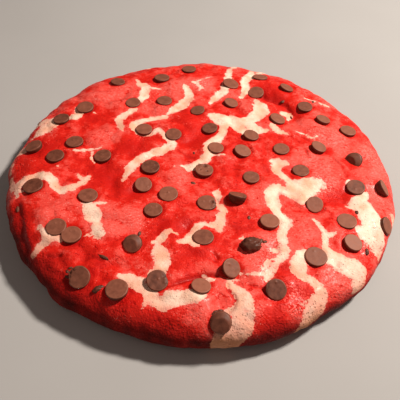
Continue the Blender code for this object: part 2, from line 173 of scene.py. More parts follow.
class Graph:
    """The node tree of one material."""

    def __init__(self, name: str) -> None:
        """Make a material with a Principled shader, and find its coordinates.

        Args:
            name: The material's name.
        """
        self.material = bpy.data.materials.new(name)
        self.material.use_nodes = True
        self.tree = self.material.node_tree
        self.shader = self.tree.nodes["Principled BSDF"]
        self.place = self.node(Node.COORDINATES, {}, {}, output="Object")

    def node(
        self,
        kind: Node,
        settings: dict[str, Any],
        sockets: dict[Union[int, str], Any],
        output: Union[int, str] = 0,
    ) -> Wire:
        """Add a node of any kind.

        Args:
            kind: The node's type.
            settings: Its properties; a ramp's stops are pairs of place and colour.
            sockets: A value or a wire for each of its inputs that is used.
            output: Which of its outputs is wanted.

        Returns:
            That output.
        """
        made = self.tree.nodes.new(kind.value)
        for key, value in settings.items():
            if key == "stops":
                self._set_stops(made, value)
            else:
                setattr(made, key, value)
        for key, value in sockets.items():
            self.feed(made.inputs[key], value)
        return Wire(self, made.outputs[output])

    @staticmethod
    def _set_stops(ramp: bpy.types.Node, stops: Sequence[tuple[float, Colour]]) -> None:
        """Give a ramp node its stops.

        Args:
            ramp: The node.
            stops: Pairs of place and colour.
        """
        elements = ramp.color_ramp.elements
        while len(elements) < len(stops):
            elements.new(0.5)
        for element, (place, colour) in zip(elements, stops):
            element.position = place
            element.color = (*colour, 1.0)

    def feed(self, socket: bpy.types.NodeSocket, value: Any) -> None:
        """Link a wire to an input, or set the input's own value.

        Args:
            socket: The input.
            value: A wire, a number or a colour.
        """
        if isinstance(value, Wire):
            self.tree.links.new(value.socket, socket)
        elif isinstance(value, tuple) and socket.type == "RGBA":
            socket.default_value = (*value, 1.0)
        else:
            socket.default_value = value

    def attribute(self, name: str) -> Wire:
        """Return a number that the mesh stores at its points."""
        return self.node(Node.ATTRIBUTE, {"attribute_name": name}, {}, output="Fac")

    def grain(
        self,
        size: float,
        detail: float = 2.0,
        roughness: float = 0.5,
        stretch: float = 1.0,
    ) -> Wire:
        """Make noise about a middle of zero.

        Args:
            size: The size of its lumps.
            detail: How many finer layers it has.
            roughness: How strong those are.
            stretch: How many times longer its lumps are from left to right.

        Returns:
            The noise.
        """
        place = self.place
        if stretch > 1.0:
            sockets = {0: place, 1: (1.0 / stretch, 1.0, 1.0)}
            place = self.node(Node.VECTOR_MATH, {"operation": "MULTIPLY"}, sockets)
        sockets = {"Vector": place, "Scale": 1.0 / size, "Detail": detail, "Roughness": roughness}
        return self.node(Node.NOISE, {}, sockets) - 0.5

    def cloud(self, kind: Cloud, lift: Number = 0.0) -> Wire:
        """Return noise round a level, raised by a lift."""
        return (kind.level + lift) + kind.swing * self.grain(kind.size, kind.layers, kind.roughness)

    def patches(self, kind: Patches, lift: Number = 0.0) -> Wire:
        """Return soft-edged patches from 0 to 1, wider where they are lifted."""
        cloud = Cloud(kind.size, kind.layers, 0.5, kind.swing, kind.roughness)
        return self.cloud(cloud, lift).rise(kind.low, kind.high)

    def mix(self, share: Number, first: Any, second: Any) -> Wire:
        """Return a colour between two colours."""
        settings = {"data_type": "RGBA", "clamp_factor": True}
        return self.node(Node.MIX, settings, {0: share, 6: first, 7: second}, output=2)

    def finish(self, **sockets: Any) -> bpy.types.Material:
        """Feed the shader's inputs, named with underscores for spaces.

        Args:
            sockets: A value or a wire for each of the shader's inputs.

        Returns:
            The material.
        """
        for name, value in sockets.items():
            self.feed(self.shader.inputs[name.replace("_", " ")], value)
        return self.material


class RedTone(NamedTuple):
    """How much each cause makes the red paler (above zero) or deeper (below zero)."""

    level: float = 0.26
    tint_and_light: float = 0.20
    patch: float = 0.40
    patch_tint: float = 0.9
    broad: float = 0.85
    # Causes that paint light and shade: mound pales crests and deepens hollows; the crease, contact and
    # wrinkle masks deepen creases, chip edges and wrinkles
    mound: float = 0.35
    crease_shade: float = -0.5
    whole: float = 0.68
    fine: float = 0.55
    fine_tint: float = 0.6
    contact_shade: float = -0.26
    flecks_and_glints: float = 0.6
    wrinkles: float = -0.3
    speckle: float = 0.6


class Relief(NamedTuple):
    """How high each part of the fine relief stands, as a share of the bump's height."""

    crinkle: float = 0.66
    calm_crinkle: float = 0.3
    grit: float = 0.42
    calm_grit: float = 0.16
    beads: float = 0.08
    rough_beads: float = 0.40
    cream_beads: float = 0.5
    pores: float = 0.16
    cream_pores: float = 0.16
    wrinkles: float = 0.24
    cream_wrinkles: float = 0.16


class Shine(NamedTuple):
    """The roughness and the thin coat of the dough, and what changes each."""

    roughness: float = 0.40
    dull_zones: float = 0.20
    cream: float = 0.20
    bake: float = 0.3
    coat: float = 0.06
    glint: float = 0.40
    dullest: float = 1.2


@dataclass(frozen=True)
class DoughFinish:
    """The baked skin of the dough: red and cream with a ragged border between them, with painted light
    and painted shade in its colour.
    """

    deep_red: Colour = (0.53, 0.006, 0.004)
    red: Colour = (0.73, 0.016, 0.008)
    light_red: Colour = (0.87, 0.090, 0.070)
    pink: Colour = (0.96, 0.25, 0.225)
    cream: Colour = (0.88, 0.46, 0.31)
    pale_cream: Colour = (0.98, 0.78, 0.635)
    # Colour of the cream's toasting and of its painted shade
    toasted_and_shaded: Colour = (0.88, 0.35, 0.265)
    brown: Colour = (0.50, 0.21, 0.10)
    pore: Colour = (0.29, 0.095, 0.045)
    # Dark colour of the foot's browning and its painted shade, also used for painted shade in creases
    baked_and_shaded_red: Colour = (0.062, 0.003, 0.002)
    border_sizes: Span = (4.2 * MM, 1.3 * MM)
    border_heights: Span = (5.0, 1.7)
    border_softness: Span = (0.10, 0.34)
    mottled_border: tuple[float, float, float] = (0.72, 0.4, 4.5)
    soft_zones: Patches = Patches(9.0 * MM, 1.0, 2.4, 0.35, 1.0)
    beside_cream: Span = (-2.4, -0.1)
    pale_border: Cloud = Cloud(6.0 * MM, 2.0, 0.16, 1.2)
    tone_sizes: Span = (17.0 * MM, 1.1 * MM)
    tone_range: Span = (-0.15, 0.9)
    tone_stops: tuple[float, ...] = (0.0, 0.36, 0.66, 1.0)
    tint_edges: Span = (0.1, 0.9)
    red_tone: RedTone = RedTone()
    pale_patches: Patches = Patches(5.0 * MM, 4.0, 1.6, 0.2, 0.8, 0.62)
    # Pale flecks, partly the dough's own and partly painted glints
    fleck_and_glint_size: float = 0.8 * MM
    fleck_and_glint_edges: Span = (0.13, 0.24)
    flecked_and_glinting_zones: Patches = Patches(10.0 * MM, 2.0, 2.4, 0.3, 0.9)
    speckle_size: float = 0.9 * MM
    speckle_edges: Span = (0.02, 0.12)
    cream_tint: float = 0.6
    light_cream: Patches = Patches(9.0 * MM, 3.0, 2.2, 0.1, 0.9)
    stain_reach: float = 1.8
    stain: Cloud = Cloud(4.0 * MM, 2.0, 0.42, 1.6)
    rim_foot_darkening: Cloud = Cloud(5.0 * MM, 3.0, 0.4, 1.4)
    toasting_and_shade: Cloud = Cloud(4.0 * MM, 3.0, 0.62, 1.0)
    toast_spots: Patches = Patches(4.5 * MM, 4.0, 2.6, 0.62, 1.05, 0.65)
    toast_spot_share: float = 0.5
    pore_size: float = 1.9 * MM
    pore_opening: Cloud = Cloud(5.0 * MM, 2.0, 0.11, 0.38)
    pore_in_crumb: float = 0.19
    pore_edges: Span = (0.07, 0.05)
    pore_shares: Span = (0.26, 0.46)
    porous_zones: Patches = Patches(15.0 * MM, 1.0, 2.4, 0.3, 0.9)
    crease_shade_share: float = 0.35
    browning_and_shade: Cloud = Cloud(6.0 * MM, 3.0, 0.85, 0.7)
    wrinkle_size: float = 6.5 * MM
    wrinkle_width: float = 0.0007
    wrinkle_stretch: float = 1.4
    wrinkled_zones: Patches = Patches(3.4 * MM, 2.0, 2.6, 0.55, 0.85)
    crinkle_size: float = 1.7 * MM
    grain_size: float = 0.7 * MM
    bead_size: float = 1.25 * MM
    stretch: float = 1.5
    sugary_zones: Patches = Patches(8.0 * MM, 2.0, 2.2, 0.45, 1.0)
    calm_zones: Patches = Patches(13.0 * MM, 1.0, 2.4, 0.35, 0.95)
    relief: Relief = Relief()
    bump_height: float = 0.6 * MM
    glint_size: float = 0.6 * MM
    glint_edges: Span = (0.10, 0.20)
    dull_zones: Patches = Patches(7.0 * MM, 2.0, 2.0, 0.1, 0.9)
    shine: Shine = Shine()

    def make(self) -> bpy.types.Material:
        """Build the material.

        Returns:
            The material.
        """
        graph = Graph("marbled_dough")
        bake = graph.attribute("bake")
        border = self._border(graph)
        wrinkles = self._wrinkles(graph)
        crisp, softer = self.border_softness
        soft = crisp + softer * graph.patches(self.soft_zones)
        inside = border.rise(0.0 - soft, soft)
        pores = self._pores(graph)
        red = self._red(graph, border, wrinkles)
        cream = self._cream(graph, border, pores)
        colour = graph.mix(inside, red, cream)
        # Painted shade in creases and on the foot, mixed with the foot's browning
        browned_and_shaded = graph.mix(inside, self.baked_and_shaded_red, self.brown)
        colour = graph.mix(self.crease_shade_share * graph.attribute("crease_shade"), colour, browned_and_shaded)
        colour = graph.mix(bake * graph.cloud(self.browning_and_shade), colour, browned_and_shaded)
        dull = graph.patches(self.dull_zones)
        glint = graph.grain(self.glint_size, 1.0).rise(*self.glint_edges)
        shine = self.shine
        roughness = shine.roughness + shine.dull_zones * dull + shine.cream * inside + shine.bake * bake
        return graph.finish(
            Base_Color=colour,
            Roughness=roughness,
            Normal=self._bump(graph, inside, pores, wrinkles),
            Coat_Weight=(shine.coat + shine.glint * glint) * (1.0 - bake) * (shine.dullest - dull),
            Coat_Roughness=0.24,
            Specular_IOR_Level=0.14,
        )

    def _border(self, graph: Graph) -> Wire:
        """Return how many millimetres a place lies inside the cream, made ragged.

        Args:
            graph: The material's nodes.

        Returns:
            The depth, which is below zero in the red.
        """
        wide, fine = self.border_sizes
        high, low = self.border_heights
        mottle = graph.attribute("mottle")
        shallower, calmer, grittier = self.mottled_border
        depth = graph.attribute("cream") * (1.0 - shallower * mottle)
        ragged = high * graph.grain(wide, 4.0, 0.6) * (1.0 - calmer * mottle)
        return depth + ragged + (low + grittier * mottle) * graph.grain(fine, 3.0, 0.6)

    def _pores(self, graph: Graph) -> Wire:
        """Return 1 in the small open pores of the crumb.

        Args:
            graph: The material's nodes.

        Returns:
            The mask.
        """
        sockets = {"Vector": graph.place, "Scale": 1.0 / self.pore_size, "Randomness": 1.0}
        cell = graph.node(Node.VORONOI, {"feature": "F1"}, sockets)
        opening = graph.cloud(self.pore_opening) + self.pore_in_crumb * graph.attribute("crumb")
        inner, outer = self.pore_edges
        return 1.0 - cell.rise(opening - inner, opening + outer)

    def _wrinkles(self, graph: Graph) -> Wire:
        """Return 1 in the short fine wrinkles of the skin."""
        ridge = graph.grain(self.wrinkle_size, 2.0, 0.5, self.wrinkle_stretch)
        return (1.0 - (ridge * ridge).rise(0.0, self.wrinkle_width)) * graph.patches(self.wrinkled_zones)

    def _red(self, graph: Graph, border: Wire, wrinkles: Wire) -> Wire:
        """Return the colour of the red dough: paler beside the cream, with painted shade round the chips
        and in creases, wrinkles and hollows, and painted light on crests and in glints.

        Args:
            graph: The material's nodes.
            border: How far inside the cream a place lies.
            wrinkles: The mask of the wrinkles.

        Returns:
            The colour.
        """
        wide, fine = self.tone_sizes
        red = self.red_tone
        tint_and_light = graph.attribute("tint_and_light")
        patch = graph.patches(self.pale_patches, red.patch_tint * tint_and_light)
        tone = red.level + red.tint_and_light * tint_and_light + red.patch * patch + red.broad * graph.grain(wide, 2.0)
        # Painted light and shade on the relief: paler on crests, deeper in hollows and creases
        tone = tone + red.mound * graph.attribute("mound") + red.crease_shade * graph.attribute("crease_shade")
        tone = tone + border.rise(*self.beside_cream) * graph.cloud(self.pale_border)
        tone = red.whole * tone.rise(*self.tone_range)
        strength = red.fine + red.fine_tint * tint_and_light.rise(*self.tint_edges)
        tone = tone + strength * graph.grain(fine, 3.0, 0.7, self.stretch)
        # Painted glints, partly pale flecks of the dough
        flecks_and_glints = graph.grain(self.fleck_and_glint_size, 1.0).rise(*self.fleck_and_glint_edges)
        flecks_and_glints = flecks_and_glints * graph.patches(self.flecked_and_glinting_zones)
        # Painted shade round the chips
        tone = tone + red.contact_shade * graph.attribute("contact_shade") + red.flecks_and_glints * flecks_and_glints
        speckle = graph.grain(self.speckle_size, 1.0).rise(*self.speckle_edges)
        speckle = graph.attribute("mottle") * speckle
        # Painted shade in the fine wrinkles
        tone = tone + red.wrinkles * wrinkles + red.speckle * speckle
        colours = (self.deep_red, self.red, self.light_red, self.pink)
        stops = tuple(zip(self.tone_stops, colours))
        return graph.node(Node.RAMP, {"stops": stops}, {"Fac": tone})

    def _cream(self, graph: Graph, border: Wire, pores: Wire) -> Wire:
        """Return the colour of the cream dough: stained near its border, brown in its pores, darker
        towards the rim's foot, and warmer and darker as painted shade on the side away from the key
        lamp.

        Args:
            graph: The material's nodes.
            border: How far inside the cream a place lies.
            pores: The mask of the pores.

        Returns:
            The colour.
        """
        crumb = graph.attribute("crumb")
        light = graph.patches(self.light_cream, self.cream_tint * graph.attribute("tint_and_light"))
        colour = graph.mix(light, self.cream, self.pale_cream)
        stain = (1.0 - border.rise(0.0, self.stain_reach)) * graph.cloud(self.stain)
        colour = graph.mix(stain, colour, self.pink)
        # Cream darker and warmer towards the rim's foot
        colour = graph.mix(crumb * graph.cloud(self.rim_foot_darkening), colour, self.toasted_and_shaded)
        # Painted shade: cream warmer and darker low on the side away from the key lamp, plus random
        # toasted spots
        toast_and_shade = graph.attribute("toast_and_shade") * graph.cloud(self.toasting_and_shade)
        toast_and_shade = toast_and_shade + self.toast_spot_share * graph.patches(self.toast_spots)
        colour = graph.mix(toast_and_shade, colour, self.toasted_and_shaded)
        least, more = self.pore_shares
        spread = crumb * graph.patches(self.porous_zones)
        return graph.mix(pores * (least + more * spread), colour, self.pore)

    def _bump(self, graph: Graph, inside: Wire, pores: Wire, wrinkles: Wire) -> Wire:
        """Return the normal of the finely crinkled and porous surface.

        Args:
            graph: The material's nodes.
            inside: 1 where the dough is cream.
            pores: The mask of the pores.
            wrinkles: The mask of the wrinkles.

        Returns:
            The normal.
        """
        crinkle = graph.grain(self.crinkle_size, 3.0, 0.6, self.stretch)
        grit = graph.grain(self.grain_size, 2.0, 0.6)
        sockets = {"Vector": graph.place, "Scale": 1.0 / self.bead_size, "Smoothness": 0.6}
        beads = graph.node(Node.VORONOI, {"feature": "SMOOTH_F1"}, sockets)
        rough = graph.patches(self.sugary_zones) + graph.attribute("crumb") + graph.attribute("mottle")
        calm = graph.patches(self.calm_zones)
        part = self.relief
        height = (part.crinkle - part.calm_crinkle * calm) * crinkle
        height = height + (part.grit - part.calm_grit * calm) * grit
        pitted = (part.beads + part.rough_beads * rough) * (1.0 - part.cream_beads * inside)
        height = height - pitted * beads - pores * (part.pores + part.cream_pores * inside)
        height = height - (part.wrinkles - part.cream_wrinkles * inside) * wrinkles
        sockets = {"Strength": 1.0, "Distance": self.bump_height, "Height": height}
        return graph.node(Node.BUMP, {}, sockets)


class Blend(NamedTuple):
    """A share that grows with a chip's flat face, its own tone and the clouds in it."""

    level: float
    face: float
    tone: float
    cloud: float


@dataclass(frozen=True)
class ChocolateFinish:
    """Semi-sweet chocolate: satin, with a pale bloom on flat faces and scuffed edges."""

    name: str = "chocolate_chip"
    dark: Colour = (0.070, 0.020, 0.011)
    milk: Colour = (0.190, 0.052, 0.028)
    bloom: Colour = (0.345, 0.120, 0.072)
    bloom_share: float = 0.50
    edge_bloom: float = 0.35
    roughness: float = 0.56
    milk_share: Blend = Blend(0.45, 0.3, 0.4, 0.9)
    haze_share: Blend = Blend(0.75, 0.0, 1.1, 1.6)
    milkiest: float = 1.1
    cloud_size: float = 3.0 * MM
    cloud_roughness: float = 0.25
    edge_polish: float = 0.06
    ripple_size: float = 1.6 * MM
    ripple_share: float = 0.5
    speck_size: float = 0.7 * MM
    speck_share: float = 0.3
    bump_strength: float = 0.35
    bump_height: float = 0.3 * MM

    def make(self) -> bpy.types.Material:
        """Build the material.

        Returns:
            The material.
        """
        graph = Graph(self.name)
        face = graph.attribute("face")
        edge = graph.attribute("edge")
        tone = graph.attribute("tone")
        cloud = graph.grain(self.cloud_size, 3.0, 0.6)
        milk, haze = self.milk_share, self.haze_share
        share = milk.level + milk.face * face + milk.tone * tone + milk.cloud * cloud
        colour = graph.mix(share.rise(0.0, self.milkiest), self.dark, self.milk)
        bloom = self.bloom_share * face * (haze.level + haze.cloud * cloud + haze.tone * tone)
        colour = graph.mix(bloom + self.edge_bloom * edge, colour, self.bloom)
        ripples = self.ripple_share * graph.grain(self.ripple_size, 3.0)
        height = ripples + self.speck_share * graph.grain(self.speck_size, 2.0)
        sockets = {"Strength": self.bump_strength, "Distance": self.bump_height, "Height": height}
        return graph.finish(
            Base_Color=colour,
            Roughness=self.roughness + self.cloud_roughness * cloud - self.edge_polish * edge,
            Normal=graph.node(Node.BUMP, {}, sockets),
            Specular_IOR_Level=0.3,
        )


@dataclass(frozen=True)
class FloorFinish:
    """A plain pale floor with a barely visible mottle."""

    pale: Colour = (0.41, 0.405, 0.405)
    paler: Colour = (0.46, 0.455, 0.455)
    mottle: Cloud = Cloud(90.0 * MM, 3.0, 0.5, 1.0)

    def make(self) -> bpy.types.Material:
        """Build the material.

        Returns:
            The material.
        """
        graph = Graph("pale_floor")
        colour = graph.mix(graph.cloud(self.mottle), self.pale, self.paler)
        return graph.finish(Base_Color=colour, Roughness=0.8, Specular_IOR_Level=0.2)


@dataclass(frozen=True)
class Sight:
    """The eye that sees the cookie and the picture, 400 wide, in which places are named."""

    eye_distance: float = 354.0 * MM
    eye_elevation: float = math.radians(45.0)
    sight_down: float = math.radians(46.26)
    sight_roll: float = math.radians(2.43)
    focal_length: float = 553.2
    picture_width: float = 400.0
    sensor_width: float = 36.0

    def eye(self) -> Vector:
        """Return the place of the eye."""
        rise = self.eye_elevation
        return self.eye_distance * Vector((0.0, -math.cos(rise), math.sin(rise)))

    def axes(self) -> tuple[Vector, Vector, Vector]:
        """Return the picture's right, its up and the line of sight.

        Returns:
            Three directions of length 1.
        """
        down, roll = self.sight_down, self.sight_roll
        level = Vector((1.0, 0.0, 0.0))
        upright = Vector((0.0, math.sin(down), math.cos(down)))
        right = math.cos(roll) * level + math.sin(roll) * upright
        up = math.cos(roll) * upright - math.sin(roll) * level
        return right, up, Vector((0.0, math.cos(down), -math.sin(down)))

    def ray(self, across: float, down: float) -> Vector:
        """Return the direction in which a picture place is seen.

        Args:
            across: How far the place is from the picture's left.
            down: How far it is from its top.

        Returns:
            The direction, of length 1.
        """
        right, up, forward = self.axes()
        half = 0.5 * self.picture_width
        sideways = (across - half) / self.focal_length
        upwards = (half - down) / self.focal_length
        return (forward + sideways * right + upwards * up).normalized()

    def on_level(self, across: float, down: float, height: float) -> Vector:
        """Return the x and y of a picture place on a level.

        Args:
            across: How far the place is from the picture's left.
            down: How far it is from its top.
            height: The level.

        Returns:
            The x and y.
        """
        ray = self.ray(across, down)
        eye = self.eye()
        point = eye + ray * ((height - eye.z) / ray.z)
        return Vector((point.x, point.y))

    def make_camera(self) -> bpy.types.Object:
        """Add the camera and make it the scene's own.

        Returns:
            The camera.
        """
        data = bpy.data.cameras.new("camera")
        data.sensor_width = self.sensor_width
        data.lens = self.focal_length / self.picture_width * self.sensor_width
        data.clip_start = 10.0 * MM
        camera = bpy.data.objects.new("camera", data)
        right, up, forward = self.axes()
        turn = Matrix((right, up, -forward)).transposed()
        camera.matrix_world = Matrix.Translation(self.eye()) @ turn.to_4x4()
        bpy.context.scene.collection.objects.link(camera)
        bpy.context.scene.camera = camera
        return camera


class Swell(NamedTuple):
    """A high or low place of the dough: picture place, then radius and height in mm."""

    across: float
    down: float
    radius: float
    height: float


class Valley(NamedTuple):
    """A groove between lumps: a line of picture places, then width and depth in mm."""

    line: tuple[Place, ...]
    width: float
    depth: float


class Lobe(NamedTuple):
    """A lobe of the outline: direction and width in degrees, then reach in mm."""

    direction: float
    width: float
    reach: float


class Zone(NamedTuple):
    """A soft round zone on the top: picture place, radius in mm and strength."""

    across: float
    down: float
    radius: float
    amount: float


class Crumb(NamedTuple):
    """A piece of chocolate on the top: picture place, length in mm, lie in degrees and width share."""

    across: float
    down: float
    length: float
    lie: Union[float, None] = None
    slim: float = 0.6


class RimCrumb(NamedTuple):
    """A piece of chocolate on the rim: direction in degrees, height and length in mm."""

    direction: float
    height: float
    length: float


SWELLS = [Swell(*row) for row in (
    (212, 67, 12, 1.0), (166, 69, 8, -0.9), (272, 84, 15, 2.2), (303, 97, 13, 1.3), (100, 92, 21, 1.2),
    (143, 92, 14, 0.9), (196, 92, 12, 0.7), (180, 124, 12, 0.8), (216, 118, 10, 0.6),
    (345, 176, 12, 1.0), (372, 172, 12, 0.9), (372, 222, 13, 1.3), (338, 282, 15, 1.2),
    (275, 306, 15, 0.9), (192, 308, 16, 1.5), (100, 306, 15, 0.9), (36, 214, 13, 1.2),
    (62, 204, 13, 0.8), (118, 214, 14, 0.8), (186, 212, 12, 0.6), (240, 226, 14, 0.8),
    (296, 240, 13, 0.9), (185, 256, 13, 0.9), (113, 178, 10, -1.3), (84, 172, 9, -0.7),
    (136, 190, 6, -1.2), (187, 228, 6, -1.3), (332, 148, 7, -1.6), (353, 145, 8, -0.9),
    (296, 117, 7, -1.5), (335, 196, 10, -1.1), (139, 236, 6, -1.0), (223, 307, 6, -1.8),
    (128, 324, 9, -0.9), (48, 260, 8, -0.8),
)]
VALLEYS = (
    Valley(((259, 94), (272, 98), (284, 103), (293, 116)), 5.0, 2.4),
    Valley(((160, 284), (180, 279), (200, 273)), 3.5, 1.4),
    Valley(((300, 128), (312, 134), (334, 142)), 5.0, 1.1),
    Valley(((60, 262), (90, 256), (120, 262)), 6.0, 0.8),
    Valley(((230, 276), (256, 284), (270, 276)), 5.0, 0.9),
    Valley(((206, 122), (196, 138), (182, 150)), 6.0, 0.9),
)
LOBES = [Lobe(*row) for row in (
    (-170, 4, -1.5), (-152, 6, -1.0), (-136, 5, -1.2), (-126, 4, 1.2), (-112, 11, -1.1), (-73, 7, 0.5),
    (-54, 5, -1.1), (-43, 4, 1.0), (-25, 7, -0.9), (-14, 4, 0.8), (7, 5, -0.8), (31, 5, -1.0),
    (58, 4, 0.9), (91, 8, 1.2), (104, 5, -1.5), (112, 4, 0.7), (132, 6, 1.1), (143, 4, -1.2),
    (171, 6, -1.7), (179, 4, 0.9),
)]

# Fine relief that only the skin has: sharp creases, small pits and one low rise
CREASES = (
    Valley(((17, 203), (17.5, 216), (20, 230), (24, 243)), 2.2, 1.3),
    Valley(
        ((227.5, 283), (227.5, 289), (233.5, 293), (235.8, 299), (232.5, 305.5), (227, 310)), 1.0, 1.3,
    ),
    Valley(((333, 158), (342, 168), (346, 178)), 0.9, 0.6),
    Valley(((306, 151), (307.5, 157)), 0.9, 0.9),
    Valley(((172, 285), (180, 281.5), (188, 278), (198, 275), (208, 274.3), (217, 275.3)), 1.3, 1.6),
    Valley(((296, 133), (304, 137), (310, 141)), 1.1, 0.7),
    Valley(((92, 101), (108, 103), (124, 100)), 1.8, 0.5),
    Valley(((176, 150), (188, 156), (194, 158)), 1.2, 0.5),
    Valley(((250, 284), (262, 287), (268, 292)), 1.0, 0.6),
    Valley(((42, 262), (60, 270), (72, 283)), 1.6, 0.6),
    Valley(((214, 253), (218, 257.5), (215, 261)), 0.9, 0.9),
    Valley(((83, 258), (92, 256), (101, 259)), 0.8, 0.6),
    Valley(((261, 93), (268, 97.5), (279, 101), (286, 104), (291, 111)), 1.6, 1.0),
    Valley(((46, 252), (54, 253.5), (60, 252)), 0.9, 0.8),
)
PITS = [Swell(*row) for row in (
    (217.3, 257.3, 1.1, -1.2), (57, 252.8, 1.3, -1.0), (54, 215.5, 1.0, -0.7), (153.5, 109, 0.9, -0.8),
    (131.6, 113, 0.8, -0.7), (170.4, 71, 1.0, -0.6), (147.7, 156.7, 1.1, -0.7),
    (231.6, 122.8, 1.0, -0.5), (352, 275.5, 1.2, -0.8), (277, 251, 1.0, -0.8), (92, 103, 1.0, -0.6),
    (128, 112, 0.9, -0.6), (186, 300, 9.0, 0.7),
)]

